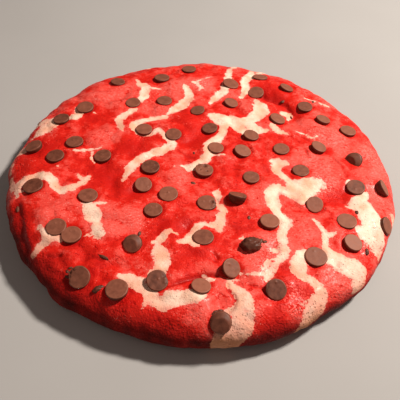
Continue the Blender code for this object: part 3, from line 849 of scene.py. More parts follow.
# Cream swirls on top: picture places along the middle of each, with its width in mm
SWIRLS = {
    "left_hook": (
        (17.5, 195.5, 2.5), (18, 190.5, 5), (18, 185, 6.5), (24, 180, 6), (33, 177.5, 5.5),
        (40, 175.2, 5.8), (47, 175.5, 6), (52, 180, 5.5), (56, 186.5, 5.5), (61, 190.5, 5.5),
        (68.5, 188.2, 5), (76.5, 185.2, 5), (83.5, 182, 4.5), (87, 177.5, 4), (89.5, 175.5, 1.5),
    ),
    "left_hook_foot": ((18, 192, 4), (24, 190.5, 2.5)),
    "left_hook_horn": ((84, 181, 3), (80, 177, 2.5), (78, 174, 1)),
    "left_hook_rim": ((11.5, 181, 4), (13, 190, 4.5)),
    "left_rim_sliver": ((35, 136.5, 1.5), (32, 139, 1.5)),
    "left_rim_crescent": ((13.5, 163.5, 1.2), (11.5, 168, 1.8), (10.5, 174, 1.5)),
    "upper_left_patch": (
        (54.5, 119.5, 5), (50.5, 124.5, 10), (45.5, 128.5, 10), (40, 132, 7), (36, 135, 3),
    ),
    "upper_left_leaf": (
        (70.5, 117.5, 4.5), (75, 116, 7.5), (79, 114, 6.5), (77.5, 110.5, 4), (76, 108, 1.2),
    ),
    "upper_left_bit": ((94, 113, 1.4), (95.5, 113.3, 1.2)),
    "left_thread": (
        (74, 150, 0.9), (80, 150.3, 1.3), (88, 149.8, 1.2), (95, 149.3, 1.1), (101, 148, 0.6),
    ),
    "left_thread_drop": ((93, 152, 0.9), (91.5, 156, 1.4), (92.3, 160.5, 1.5), (95, 163.5, 0.8)),
    "back_left_hook": (
        (137, 80, 2), (140.5, 84.2, 5), (144.5, 87, 6.5), (145, 92.5, 7), (143.5, 97, 6),
        (141, 100, 4.5),
    ),
    "back_left_thread": ((147, 87.5, 3), (153, 88.2, 2), (162, 89, 1)),
    "inner_left_hook": (
        (136.5, 108.5, 2.5), (130.5, 111.3, 4.2), (124.5, 115, 4.8), (120, 119, 5.4), (119.8, 122.5, 5),
        (121, 126.5, 3.8), (122.5, 130.5, 1.2),
    ),
    "loop_round_chip": (
        (166.5, 116.8, 3), (158, 118, 4), (149, 119.6, 4.8), (142, 121.2, 5), (135.5, 124, 6),
        (132.5, 127.5, 5), (135.5, 131, 3.8), (142, 135, 2.6), (149, 135.5, 3), (154, 132.3, 4),
        (157.5, 130.5, 4.6), (161, 132, 3.6), (164.5, 136.5, 3), (167.5, 140, 2),
    ),
    "long_diagonal": (
        (173, 141, 2.5), (170.5, 146, 7), (164, 150, 7), (156, 152.7, 6.6), (147.5, 155.8, 7),
        (139.5, 159.5, 7), (133, 165, 7), (128.5, 171, 5.5), (125, 177, 3), (121, 184.5, 1),
    ),
    "back_middle": (
        (184, 85, 3), (187.5, 90, 5), (189.3, 95, 6.4), (188, 100, 7.4), (182, 105.2, 8.5),
        (176, 109.2, 7), (170.5, 112.3, 4), (167, 114.3, 1.2),
    ),
    "back_middle_ghost": ((192.5, 82, 1.6), (197, 83.5, 3), (200.5, 87.5, 3), (198.5, 90, 1.5)),
    "back_middle_ghost_thread": ((198, 81, 1.5), (204, 79, 1.4), (210.5, 76.8, 0.9)),
    "back_right_short": (
        (229.5, 70, 5), (229, 75, 5), (225.5, 85.5, 6), (223.5, 91, 7.4), (218.5, 96.2, 6.6),
        (213.5, 100, 5.4), (210.5, 103.3, 2),
    ),
    "back_right_edge": (
        (252, 72.5, 5), (249.5, 77.3, 7.6), (245, 81.5, 6.4), (244.5, 86.5, 6.6), (246, 91, 6),
        (243.5, 95, 4), (239.5, 98, 2.6),
    ),
    "broad_bay": (
        (257, 102, 4), (260, 106.8, 10), (260.5, 111.5, 11), (256.5, 116.5, 10), (249, 120, 9.5),
        (241, 122.5, 9.5), (232, 121, 10.5), (222.5, 119.5, 12), (215, 117, 7), (210, 114.5, 2.5),
    ),
    "broad_bay_lobe": ((249, 124, 7), (253, 128, 8), (258, 130.5, 7), (263, 131, 5), (267, 130, 2)),
    "broad_bay_apron": ((231, 122, 8), (237, 125.5, 8), (242, 130.5, 7), (246, 132.5, 4)),
    "broad_bay_tail": (
        (224, 122, 7), (222.8, 129, 5.6), (221.5, 135, 5.6), (215.5, 139.5, 7), (209.7, 143, 6),
        (207.2, 148, 5), (208, 153, 6), (205.5, 158, 6.6), (202.3, 161.5, 5),
    ),
    "broad_bay_spur": ((206, 154, 4), (212, 154.3, 3), (216.5, 155, 1)),
    "bit_under_chip": ((220, 154.5, 2), (224, 154.5, 1.8)),
    "middle_branch": (
        (199.5, 161.5, 4.5), (195.5, 165.4, 6), (191, 167.8, 5.5), (186, 167, 3), (180, 165.7, 1.8),
        (174.5, 166, 1),
    ),
    "beside_back_chip": ((282, 114, 4), (287, 115, 5.5), (290, 116.5, 4), (288, 120, 2)),
    "below_back_chip": (
        (271.5, 124.5, 3.5), (274, 127.5, 4.6), (279, 131, 4.8), (284, 133, 3.2), (288, 134.7, 1),
    ),
    "pale_streak_one": ((305, 98.5, 0.8), (311, 100.5, 1.2), (316, 102, 0.8)),
    "pale_streak_two": ((315, 101.5, 0.7), (320, 103.4, 1.3), (326, 105.8, 1.1), (331, 108, 0.5)),
    "ragged_streak": (
        (293.5, 130, 0.6), (300, 133, 0.9), (306, 134.5, 0.9), (311, 137.5, 1.7), (316, 136, 0.8),
    ),
    "right_head": (
        (273.5, 161, 4.5), (278, 163, 7), (277, 168, 6.5), (276.5, 171, 5.5), (280.5, 174.5, 5),
        (285.5, 178.2, 5), (290, 182, 5),
    ),
    "right_head_horn": ((280, 163.5, 5), (285, 163.3, 4.4), (289, 164.3, 1.4)),
    "right_patch": (
        (288.5, 187.5, 5), (296, 188, 13), (303, 188.5, 15), (309, 186.5, 12.5), (315, 184.5, 10),
        (320, 183, 6.5), (322.5, 186.5, 2.5),
    ),
    "right_patch_foot": ((304, 195, 8), (303, 202, 4)),
    "right_patch_skirt": ((283.5, 191.5, 5), (291, 193.5, 6.4), (298, 197.5, 6)),
    "right_column": (
        (284, 188.5, 4.5), (276.5, 189.5, 7.5), (271.8, 193, 8.6), (272, 199.5, 8.6), (274, 206, 7.4),
        (276.5, 211.5, 6.4), (280.5, 216, 6.6), (285, 221, 7), (284, 226, 6.6), (282, 232, 5.4),
        (282.5, 240, 5.2), (283.5, 246, 5.8), (284.5, 252, 6.6), (281.5, 256.5, 5.2), (276.3, 262, 4),
        (273, 267, 5), (268, 272, 4), (262, 273.9, 3), (255, 274, 2.2), (241, 273.5, 1.6),
    ),
    "right_column_pool": ((271, 269, 4), (269.5, 274, 5), (267.5, 278, 4.5), (268.5, 281, 1.5)),
    "right_column_horn": ((287, 222, 3), (292, 225.5, 1)),
    "right_column_bits": ((263.5, 268.5, 2), (268.5, 264, 3), (272, 259.5, 1.5)),
    "right_column_spur": ((271, 250, 2), (276.5, 251, 3.6), (281, 249, 3)),
    "right_bits_far": ((345.5, 182.5, 1.4), (349.5, 180.8, 1.8)),
    "front_right_band": (
        (306, 252, 4), (301.5, 254.5, 5.5), (299, 260, 8), (298.4, 266, 9), (299.5, 271.5, 8),
        (304, 276, 5.4), (310.5, 279.5, 5), (316.8, 285, 5.6), (320.8, 292, 6.6), (321, 298.5, 8),
        (317.8, 305, 10.6), (314, 311, 11), (310.5, 318, 9.5), (306, 324, 8), (301, 329, 7),
        (296, 333, 6),
    ),
    "thin_right": (
        (313, 219.5, 1.3), (318, 224, 2.8), (322, 229, 3.2), (325, 234, 3.6), (325.8, 240, 3.6),
        (325.2, 246, 3.8), (327.5, 250.5, 5),
    ),
    "thin_right_horn": ((325, 235.5, 3), (330, 235, 3.2), (336, 233, 1)),
    "right_arm": (
        (329, 256, 9.6), (336, 260, 11), (343, 263.6, 11.4), (351, 267.3, 12), (358.8, 272.5, 12.4),
        (359, 280, 9.5), (356.5, 287, 6), (353.5, 292.5, 3),
    ),
    "crescent_head": (
        (365, 193.5, 4), (361, 199, 8.5), (355.5, 204.5, 8), (350, 206.5, 3.6), (346, 207, 1),
    ),
    "crescent": (
        (360, 201.5, 9), (365, 209, 12), (370.3, 216, 13), (373.3, 223, 13.5), (375.8, 231, 13),
        (377, 238.5, 12.5), (377.5, 247, 9.5), (378.5, 254, 5.5), (378.5, 260, 1.5),
    ),
    "crescent_inner": ((356, 226.5, 2.6), (361, 231, 6.6), (367, 237, 7.5), (372, 244, 7)),
    "bit_by_front_chip": ((204.5, 277, 2.2), (209, 279, 3), (215, 279.5, 2)),
    "front_column": (
        (228.5, 279.5, 2), (230.5, 285, 4), (236, 290, 5.4), (241.5, 295.5, 7.4), (244.5, 301, 9.2),
        (243.5, 309, 11), (242, 317, 12), (240.5, 325, 12), (236.5, 332, 13), (230.5, 338, 14.5),
        (225, 344, 15),
    ),
    "front_column_horn": ((240, 311.5, 6), (232.5, 312.8, 5), (226, 313.3, 2.8), (220, 313, 1)),
    "front_column_thread": ((229, 279, 1.4), (234, 279.5, 1.1), (240, 280.5, 0.8)),
    "front_left_head": (
        (119.5, 276, 2.6), (125.5, 278, 5.4), (132, 280.7, 8), (138.5, 282, 7.6), (143, 280.5, 4.4),
        (146, 278.5, 1.4),
    ),
    "front_left_leaf": (
        (138.5, 285.5, 7), (145.5, 289.5, 6.4), (151, 293.7, 6.2), (154, 299.5, 6.8), (158.8, 303, 7),
        (165, 302.3, 9), (172, 300, 9.6), (181, 297.3, 9), (190, 296, 9), (197, 294.7, 7.4),
        (204, 292.7, 3),
    ),
    "front_left_spike": ((148, 296, 3.6), (146, 301, 2.6), (144, 305, 1.8), (143, 308, 0.8)),
    "middle_left_head": (
        (171, 230.7, 2), (166, 233, 4), (163.3, 237, 5), (159.5, 240.7, 4.6), (154, 242, 2),
    ),
    "middle_left_thread": ((166, 231.5, 1.3), (173, 232.3, 1), (177, 234, 0.7)),
    "middle_left_column": (
        (160.5, 246, 3), (159.5, 249.5, 6.4), (160.7, 254, 9), (162.3, 260, 8.6), (161.5, 267, 8.3),
        (157.5, 272.5, 8.2), (151.5, 276.7, 4.6),
    ),
    "middle_flag": ((219, 189, 1.8), (217, 193, 4.6), (218, 198, 4.2), (218, 201.5, 2.5)),
    "middle_hook": (
        (218, 205, 2.4), (222.3, 209.3, 4.6), (224.5, 212, 3.8), (220.8, 216, 5), (221, 222, 5.2),
        (219, 227, 4.4), (218.5, 231, 1.4),
    ),
    "middle_tail": (
        (216, 225.7, 4.4), (209, 225.5, 3.6), (202.4, 224, 3.8), (197.5, 226.5, 4.6), (195, 231, 4.8),
        (191.6, 236, 5), (187.5, 240.2, 4.8), (181, 241.5, 2.4), (177.5, 241.3, 1),
    ),
    "middle_tail_foot": ((188, 240, 4.6), (194, 243, 4.2), (199.5, 245.5, 1.5)),
    "left_flag_thread": ((106, 202.5, 0.8), (101, 203, 1.4), (95, 203.5, 2)),
    "left_flag": (
        (86.5, 204, 5), (88, 207, 7), (92, 212.3, 9), (94, 217, 9.2), (97, 221, 5), (97, 226, 6),
        (97, 230, 7), (98, 232.8, 7),
    ),
    "left_flag_foot": ((91, 234, 3.2), (86, 236, 1.4)),
    "left_front_stroke": (
        (61.5, 240, 2.6), (55.5, 236.8, 5), (50.5, 235.5, 6), (47, 239, 5.6), (43.7, 243.3, 4.8),
        (39, 248, 4.4), (35.5, 252, 4.4), (33.5, 256, 3.6),
    ),
    "left_front_horn": ((49, 235.5, 4.6), (44, 231.5, 4), (40, 227.5, 3.2), (38.5, 224.5, 1.8)),
    "speck_one": ((186, 134, 1.3), (187, 134, 1.3)),
    "speck_two": ((240.5, 238.5, 1.7), (242, 238.5, 1.4)),
    "speck_three": ((57, 166, 1), (57.6, 166, 1)),
}

# Zones where cream and red break up into fine crumbs
MOTTLES = [Zone(*row) for row in (
    (293, 296, 7, 1.0), (298, 305, 5, 0.7), (287, 290, 5, 0.5), (369, 249, 5, 1.0), (273, 248, 6, 0.9),
    (266, 266, 6, 0.8), (326, 192, 8, 0.6), (318, 178, 6, 0.4), (330, 275, 9, 0.4), (50, 129, 6, 0.8),
    (200, 84, 7, 0.8), (228, 335, 9, 0.5), (142, 138, 5, 0.7), (94, 235, 6, 0.6), (175, 292, 5, 0.5),
    (378, 160, 9, 0.4), (112, 316, 9, 0.5), (163, 258, 6, 0.4), (375, 190, 8, 0.5), (315, 135, 8, 0.5),
)]

# Cream on the rim and under the foot: direction in degrees, way from the top's middle and width in mm
RIM_SWIRLS = {
    "back_wide": (
        (79, 108, 5), (78, 116, 5.5), (80, 125, 6.5), (84, 135, 7.5), (86, 145, 8), (84, 158, 9),
    ),
    "back_narrow": ((69, 110, 6), (66, 118, 5.5), (66, 127, 5), (62, 137, 4.5), (60, 146, 3)),
    "back_left_wide": (
        (112, 112, 2), (114, 119, 5), (111, 127, 7), (115, 136, 8.5), (118, 146, 8), (120, 160, 7),
    ),
    "back_left_narrow": ((136, 114, 1.5), (133, 121, 3.5), (135, 129, 5), (131, 138, 5), (130, 146, 3)),
    "left_of_hook": ((176, 112, 7), (178, 120, 7.5), (181, 129, 7), (179, 138, 6), (182, 147, 5)),
    "left_of_patch": ((161, 110, 6), (163, 118, 6), (160, 127, 5), (164, 137, 3.5)),
    "left_front": ((-143, 133, 3), (-145, 139, 5), (-147, 146, 4)),
    "right_of_crescent": ((-17, 119, 7), (-20, 126, 8), (-24, 134, 6.5), (-26, 143, 4)),
    "right_wide": (
        (24, 118, 2), (22, 122, 4.5), (25, 128, 6.5), (23, 137, 7.5), (26, 147, 8), (24, 160, 6),
    ),
    "right_narrow": ((42, 125, 1.5), (45, 131, 3.5), (43, 138, 4)),
    "front_foot": ((-84, 137, 13), (-85, 146, 12), (-88, 160, 9)),
    "front_right_foot": ((-66, 136, 6), (-70, 146, 7), (-73, 156, 6)),
    "right_foot_lip": ((-52, 141, 1.4), (-45, 142, 2), (-38, 141, 1.2)),
}

# Zones where the red is paler (above zero) or deeper (below zero): mostly the dough's own tone, but the
# pale zones near the right rim are a painted highlight and the deep zones along the left rim and the
# front rim's foot are painted shade
TINTS_AND_LIGHT = [Zone(*row) for row in (
    (370, 153, 8, 0.5), (379, 166, 7, 0.4), (316, 114, 4, 0.8), (388, 185, 7, 0.3), (108, 95, 11, 0.9),
    (125, 90, 8, 0.6), (150, 105, 9, 0.7), (163, 108, 8, 0.6), (170, 90, 10, 0.6), (200, 84, 8, 0.9),
    (208, 78, 5, 0.6), (226, 95, 5, 0.6), (100, 134, 8, 0.8), (110, 140, 6, 0.6), (240, 100, 6, 0.5),
    (262, 98, 6, 0.3), (300, 128, 8, 0.4), (328, 130, 9, 0.9), (335, 136, 7, 0.5), (320, 170, 10, 0.8),
    (330, 185, 9, 0.7), (308, 160, 8, 0.4), (370, 180, 14, 0.4), (380, 205, 12, 0.4),
    (345, 150, 12, 0.4), (365, 160, 12, 0.3), (34, 212, 12, 0.1), (42, 228, 8, 0.25),
    (60, 203, 9, 0.35), (178, 180, 8, 0.7), (187, 172, 6, 0.6), (105, 220, 9, 0.4), (125, 225, 9, 0.3),
    (133, 215, 6, 0.5), (262, 200, 9, 0.3), (300, 225, 11, 0.5), (310, 245, 9, 0.5),
    (255, 262, 10, 0.4), (205, 262, 8, 0.3), (338, 285, 10, 0.4), (17, 212, 5, -0.8),
    (20, 234, 6, -0.8), (372, 228, 12, 0.5), (345, 268, 9, 0.6), (281, 190, 8, 0.4),
    (215, 310, 14, 0.3), (140, 312, 13, -0.3), (108, 318, 9, -0.2), (270, 245, 10, 0.4),
    (113, 178, 8, -0.9), (140, 142, 10, -0.7), (125, 148, 7, -0.6), (195, 135, 10, -0.7),
    (185, 115, 7, -0.5), (270, 95, 7, -0.7), (285, 103, 6, -0.9), (295, 114, 5, -0.9),
    (187, 228, 5, -0.8), (335, 196, 7, -0.8), (342, 190, 6, -0.5), (45, 150, 9, -0.6),
    (30, 165, 8, -0.5), (95, 120, 8, -0.3), (265, 88, 4, -0.5), (140, 190, 7, -0.6),
    (125, 200, 10, -0.3), (170, 225, 8, -0.4), (195, 250, 8, -0.4), (80, 250, 12, -0.3),
    (18, 222, 8, -0.8), (23, 246, 9, -0.9), (36, 274, 10, -0.9), (60, 298, 10, -0.8),
    (92, 317, 10, -0.6), (130, 331, 9, -0.6), (175, 340, 9, -0.6), (272, 336, 8, -0.6),
    (288, 273, 6, -0.7), (300, 285, 7, -0.3), (330, 152, 4, -0.7),
)]

CRUMBS = [Crumb(*row) for row in (
    (249, 217.8, 3.9), (98.6, 288.2, 7.4, 32.0, 0.5), (194, 153, 2.8), (193, 183, 4.0),
    (139.5, 233.7, 5.4, 80.0, 0.42), (18, 208, 6.0, 95.0, 0.4), (366.8, 251.5, 5.2), (357, 212.5, 4.0),
    (291, 117.5, 3.4), (283, 101.5, 4.6), (313, 102, 3.4), (103, 256.6, 7.2, 153.0, 0.3),
    (67.5, 271.5, 3.4), (66.8, 276.5, 2.8), (71, 267.8, 3.0), (251, 244.8, 12.6, 14.0, 0.78),
    (260, 241.5, 5.6), (264.5, 241.8, 3.8), (257.5, 239.5, 4.2), (214.5, 312.5, 5.0, 35.0, 0.45),
    (219.5, 310.5, 4.4, 10.0, 0.4),
)]
RIM_CRUMBS = [RimCrumb(*row) for row in (
    (28, 12.5, 6.5), (62, 8.0, 5.5), (97, 13.5, 7.0), (131, 9.5, 6.0), (160, 14.0, 5.0),
)]


def nearest_on_lines(
    points: np.ndarray,
    starts: np.ndarray,
    ends: np.ndarray,
) -> tuple[np.ndarray, np.ndarray]:
    """Find how near points come to each of several straight stretches.

    Args:
        points: The points, one in a row.
        starts: Where each stretch starts.
        ends: Where each stretch ends.

    Returns:
        Distances and shares along the stretch, with a row for each point.
    """
    along = ends - starts
    lengths = np.maximum((along ** 2).sum(axis=1), 1e-12)
    offsets = points[:, None, :] - starts[None, :, :]
    shares = np.clip((offsets * along[None]).sum(axis=2) / lengths, 0.0, 1.0)
    gaps = offsets - shares[..., None] * along[None]
    return np.sqrt((gaps ** 2).sum(axis=2)), shares


def smooth_noise(points: np.ndarray, size: float, octaves: int = 0) -> np.ndarray:
    """Return noise at points, in lumps of a given size, from about -1 to 1.

    Args:
        points: The points, one in a row.
        size: The size of a lump.
        octaves: How many finer layers are added.

    Returns:
        A number for each point.
    """
    scaled = (points / size).tolist()
    if octaves:
        return np.array([noise.fractal(Vector(p), FRACTAL_FALL, FRACTAL_GAP, octaves) for p in scaled])
    return np.array([noise.noise(Vector(p)) for p in scaled])


def noise_offset(rng: random.Random) -> Vector:
    """Return a random place from which a piece reads its noise."""
    return Vector((rng.uniform(0, NOISE_SPAN), rng.uniform(0, NOISE_SPAN), rng.uniform(0, NOISE_SPAN)))


def bell(distance: np.ndarray, width: float) -> np.ndarray:
    """Return 1 at no distance, falling off smoothly over a width."""
    return np.exp(-(distance / width) ** 2)


def point_normals(points: np.ndarray, faces: np.ndarray) -> np.ndarray:
    """Return the normal of a mesh of triangles at each of its points.

    Args:
        points: The points, one in a row.
        faces: The triangles, one in a row.

    Returns:
        A normal of length 1 for each point.
    """
    corners = points[faces]
    across = np.cross(corners[:, 1] - corners[:, 0], corners[:, 2] - corners[:, 0])
    normals = np.zeros_like(points)
    for corner in range(3):
        np.add.at(normals, faces[:, corner], across)
    return normals / np.maximum(np.linalg.norm(normals, axis=1, keepdims=True), 1e-15)


@dataclass
class Shape:
    """Points and faces of a piece under construction, with numbers stored at its points."""

    points: list[Vector] = field(default_factory=list)
    faces: list[tuple[int, ...]] = field(default_factory=list)
    values: dict[str, list[float]] = field(default_factory=dict)

    def add(
        self,
        points: Sequence[Vector],
        faces: Sequence[tuple[int, ...]],
        **values: Sequence[float],
    ) -> None:
        """Append a closed form.

        Args:
            points: Its points.
            faces: Its faces, counted from its own first point.
            values: Named numbers, one for each point.
        """
        first = len(self.points)
        self.points.extend(points)
        self.faces.extend(tuple(first + corner for corner in face) for face in faces)
        for name, numbers in values.items():
            self.values.setdefault(name, []).extend(numbers)


def make_piece(
    name: str,
    points: Any,
    faces: Any,
    values: dict[str, Any],
    material: bpy.types.Material,
) -> bpy.types.Object:
    """Make a smooth object that rides on the cookie's one body.

    Args:
        name: The piece's name.
        points: Its points.
        faces: Its faces.
        values: Named numbers stored at its points.
        material: Its finish.

    Returns:
        The object.
    """
    mesh = bpy.data.meshes.new(name)
    mesh.from_pydata(np.asarray(points, float).tolist(), [], [list(map(int, f)) for f in faces])
    for key, numbers in values.items():
        store = mesh.attributes.new(key, "FLOAT", "POINT")
        store.data.foreach_set("value", np.asarray(numbers, np.float32))
    mesh.shade_smooth()
    mesh.materials.append(material)
    mesh.update()
    piece = bpy.data.objects.new(name, mesh)
    bpy.context.scene.collection.objects.link(piece)
    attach(piece, "root")
    count = sum(len(face) - 2 for face in faces)
    LOG.info("%s: %d triangles", name, count)
    return piece


@dataclass(frozen=True)
class DoughForm:
    """The even form of the dough, which its solid has too, and how finely the skin follows it."""

    rim_radius: float = 118.0 * MM
    top_height: float = 23.6 * MM
    bulge_height: float = 10.6 * MM
    shoulder_power: float = 11.0
    shoulder_start: float = 95.0 * MM
    groove_radius: float = 112.3 * MM
    groove_height: float = 3.5 * MM
    foot_lip: float = 1.3 * MM
    base_inset: float = 2.6 * MM
    foot_turn: tuple[tuple[float, float], ...] = ((0.3, 0.75), (0.0, 0.5), (0.5, 0.17))
    pillow_length: float = 24.0 * MM
    pillow_height: float = 0.7 * MM
    rim_wave_length: float = 30.0 * MM
    rim_wave_depth: float = 0.7 * MM
    lobe_falloff: float = 4.0
    deep_crease: float = 1.6 * MM
    spacing: float = 0.93 * MM
    row: float = 0.81 * MM
    base_spacing: float = 2.6 * MM
    base_growth: float = 1.25
    curve_steps: int = 200
    under_steps: int = 60
    side_start: float = 104.0 * MM
    side_length: float = 16.0 * MM
    mound_length: float = 15.0 * MM
    mound_height: float = 2.6 * MM
    mound_level: float = 0.26
    mound_softness: float = 0.005
    mound_side_loss: float = 0.5
    lump_length: float = 7.0 * MM
    lump_height: float = 0.44 * MM
    crinkle_length: float = 3.4 * MM
    crinkle_height: float = 0.10 * MM
    crinkle_in_patches: float = 0.16 * MM
    crinkle_on_side: float = 0.06 * MM
    patch_length: float = 16.0 * MM
    under_calm: float = 0.75
    crease_slope: float = 0.2

    def even_height(self, radius: np.ndarray) -> np.ndarray:
        """Return the height of the even top at radii.

        Args:
            radius: Distances from the middle.

        Returns:
            A height for each.
        """
        share = np.minimum(radius / self.rim_radius, 1.0)
        rise = self.top_height - self.bulge_height
        return self.bulge_height + rise * np.sqrt(1.0 - share ** self.shoulder_power)

    def section(self) -> np.ndarray:
        """Return the section from the middle of the top, round the rim, to the foot.

        Returns:
            Radius and height of its points, one in a row.
        """
        flat = np.linspace(0.0, self.shoulder_start, self.curve_steps)
        share = (self.shoulder_start / self.rim_radius) ** (0.5 * self.shoulder_power)
        turn = np.linspace(math.acos(share), 0.0, self.curve_steps)
        shoulder = self.rim_radius * np.cos(turn) ** (2.0 / self.shoulder_power)
        top = np.concatenate([flat, shoulder[1:]])
        rows = [np.stack([top, self.even_height(top)], axis=1)]
        turn = np.linspace(0.0, 0.5 * math.pi, self.under_steps)[1:]
        depth = self.bulge_height - self.groove_height
        bulge = self.rim_radius - self.groove_radius
        under = (self.groove_radius + bulge * np.cos(turn), self.bulge_height - depth * np.sin(turn))
        rows.append(np.stack(under, axis=1))
        lip = self.groove_radius + self.foot_lip
        foot = self.groove_radius - self.base_inset
        height = self.groove_height
        turned = [(lip - inset * self.foot_lip, share * height) for inset, share in self.foot_turn]
        rows.append(np.array([*turned, (foot, 0.0)]))
        return np.concatenate(rows)

    def rings(self) -> tuple[np.ndarray, np.ndarray]:
        """Return radius, height and way along the section of every ring, and their spacings.

        Returns:
            The rings, one in a row, and how far apart the points of each are.
        """
        section = self.section()
        steps = np.linalg.norm(np.diff(section, axis=0), axis=1)
        way = np.concatenate([[0.0], np.cumsum(steps)])
        count = int(round(way[-1] / self.row))
        stops = np.linspace(0.0, way[-1], count + 1)[1:]
        radius = np.interp(stops, way, section[:, 0])
        height = np.interp(stops, way, section[:, 1])
        under = [radius[-1]]
        step = self.row
        while under[-1] > self.base_spacing:
            step = min(step * self.base_growth, self.base_spacing)
            under.append(under[-1] - step)
        under = np.array([r for r in under[1:] if r > 0.5 * self.base_spacing])
        growing = self.spacing * self.base_growth ** np.arange(1, len(under) + 1)
        spacing = np.concatenate([
            np.full(len(radius), self.spacing),
            np.clip(growing, None, self.base_spacing),
        ])
        rows = np.stack([
            np.concatenate([radius, under]),
            np.concatenate([height, np.zeros(len(under))]),
            np.concatenate([stops, stops[-1] + radius[-1] - under]),
        ], axis=1)
        return rows, spacing


class DoughSkin:
    """The fine closed skin of the dough."""

    def __init__(self, form: DoughForm, sight: Sight) -> None:
        """Shape the skin as the solid is shaped.

        Args:
            form: The dough's sizes.
            sight: The eye by which picture places are named.
        """
        self.form = form
        self.sight = sight
        self.swells = [(self._on_top(s.across, s.down), s.radius * MM, s.height * MM) for s in SWELLS]
        self.valleys = self._lines(VALLEYS)
        self.rows, spacing = form.rings()
        self.faces, radius, height, angle, self.way = self._grid(spacing)
        self.points = self.place(radius, height, angle)
        self.normals = point_normals(self.points, self.faces)
        self.tree = self._tree()
        # Masks for painted shade round the chips and in creases, and the relief's height for painted
        # light and shade
        self.contact_shade = np.zeros(len(self.points))
        self.mound = np.zeros(len(self.points))
        self.crease_shade = np.zeros(len(self.points))

    def _on_top(self, across: float, down: float) -> np.ndarray:
        """Return the x and y of a picture place on the level of the top."""
        return np.array(self.sight.on_level(across, down, self.form.top_height))

    def _lines(self, valleys: Sequence[Valley]) -> list[tuple[np.ndarray, float, float]]:
        """Return the lines of valleys on the level of the top, with widths and depths.

        Args:
            valleys: The valleys.

        Returns:
            A line, a width and a depth for each.
        """
        return [
            (np.array([self._on_top(*place) for place in v.line]), v.width * MM, v.depth * MM)
            for v in valleys
        ]

    def _grid(self, spacing: np.ndarray) -> tuple[np.ndarray, ...]:
        """Lay even rings of points down the section and stitch them together.

        Args:
            spacing: The distance between neighbours on each ring.

        Returns:
            The triangles, and the radius, height, angle and way of each point.
        """
        faces: list[tuple[int, int, int]] = []
        columns: list[np.ndarray] = [np.array([[0.0, self.form.top_height, 0.0, 0.0]])]
        first, before = 1, None
        for number, ((radius, height, way), gap) in enumerate(zip(self.rows, spacing)):
            count = max(6, int(round(2.0 * math.pi * radius / gap)))
            turn = 0.5 * (number % 2) / count
            angle = 2.0 * math.pi * (np.arange(count) / count + turn)
            ring = [np.full(count, radius), np.full(count, height), angle, np.full(count, way)]
            columns.append(np.stack(ring, axis=1))
            if before is None:
                faces += [(0, first + i, first + (i + 1) % count) for i in range(count)]
            else:
                faces += self._stitch(before, (first, count, turn))
            before = (first, count, turn)
            first += count
        columns.append(np.array([[0.0, 0.0, 0.0, self.rows[-1, 2] + self.rows[-1, 0]]]))
        start, count, _ = before
        faces += [(first, start + (i + 1) % count, start + i) for i in range(count)]
        table = np.concatenate(columns)
        return np.array(faces), table[:, 0], table[:, 1], table[:, 2], table[:, 3]

    @staticmethod
    def _stitch(
        inner: tuple[int, int, float],
        outer: tuple[int, int, float],
    ) -> list[tuple[int, int, int]]:
        """Fill between two rings that have any number of points.

        Args:
            inner: The ring nearer the top's middle: first point, count and turn.
            outer: The next ring down the section.

        Returns:
            The triangles.
        """
        start_in, count_in, turn_in = inner
        start_out, count_out, turn_out = outer
        faces = []
        i = j = 0
        while i < count_out or j < count_in:
            here_out = start_out + i % count_out
            here_in = start_in + j % count_in
            next_out = turn_out + (i + 1) / count_out
            next_in = turn_in + (j + 1) / count_in
            if j >= count_in or (i < count_out and next_out <= next_in):
                i += 1
                faces.append((here_out, start_out + i % count_out, here_in))
            else:
                j += 1
                faces.append((here_out, start_in + j % count_in, here_in))
        return faces

    def place(self, radius: np.ndarray, height: np.ndarray, angle: np.ndarray) -> np.ndarray:
        """Return where points of the section lie once turned to their angles.

        Args:
            radius: Distances from the middle.
            height: Heights above the base.
            angle: Directions in radians.

        Returns:
            The points, one in a row.
        """
        form = self.form
        reach = radius + self._outline(angle) * (radius / form.rim_radius) ** form.lobe_falloff
        rise = form.top_height - form.bulge_height
        lift = np.maximum(0.0, (height - form.bulge_height) / rise)
        around = np.stack([
            form.rim_radius * np.cos(angle), form.rim_radius * np.sin(angle), 2.0 * height,
        ], axis=1)
        wave = smooth_noise(around, form.rim_wave_length)
        reach = reach + form.rim_wave_depth * wave * 4.0 * lift * (1.0 - lift)
        flat = np.stack([reach * np.cos(angle), reach * np.sin(angle)], axis=1)
        return np.concatenate([flat, (height + lift * self._relief(flat))[:, None]], axis=1)

    @staticmethod
    def _outline(angle: np.ndarray) -> np.ndarray:
        """Return how far the outline stands outside its circle in directions.

        Args:
            angle: The directions, in radians.

        Returns:
            A distance for each.
        """
        total = np.zeros_like(angle)
        for lobe in LOBES:
            turn = (np.degrees(angle) - lobe.direction + 180.0) % 360.0 - 180.0
            total += lobe.reach * MM * bell(turn, lobe.width)
        return total

    def _relief(self, flat: np.ndarray) -> np.ndarray:
        """Return how far the dough stands above its even top over places.

        Args:
            flat: The x and y of the places, one in a row.

        Returns:
            A height for each.
        """
        level = np.concatenate([flat, np.zeros((len(flat), 1))], axis=1)
        total = self.form.pillow_height * smooth_noise(level, self.form.pillow_length)
        for middle, radius, height in self.swells:
            total += height * bell(np.linalg.norm(flat - middle, axis=1), radius)
        for line, width, depth in self.valleys:
            total -= depth * bell(nearest_on_lines(flat, line[:-1], line[1:])[0].min(axis=1), width)
        return total

    def _tree(self) -> BVHTree:
        """Return a tree of the skin that rays can be cast on."""
        return BVHTree.FromPolygons(self.points.tolist(), self.faces.tolist())

    def touch(self, across: float, down: float) -> Union[Vector, None]:
        """Return where a picture place meets the dough, or None beside it."""
        return self.tree.ray_cast(self.sight.eye(), self.sight.ray(across, down))[0]

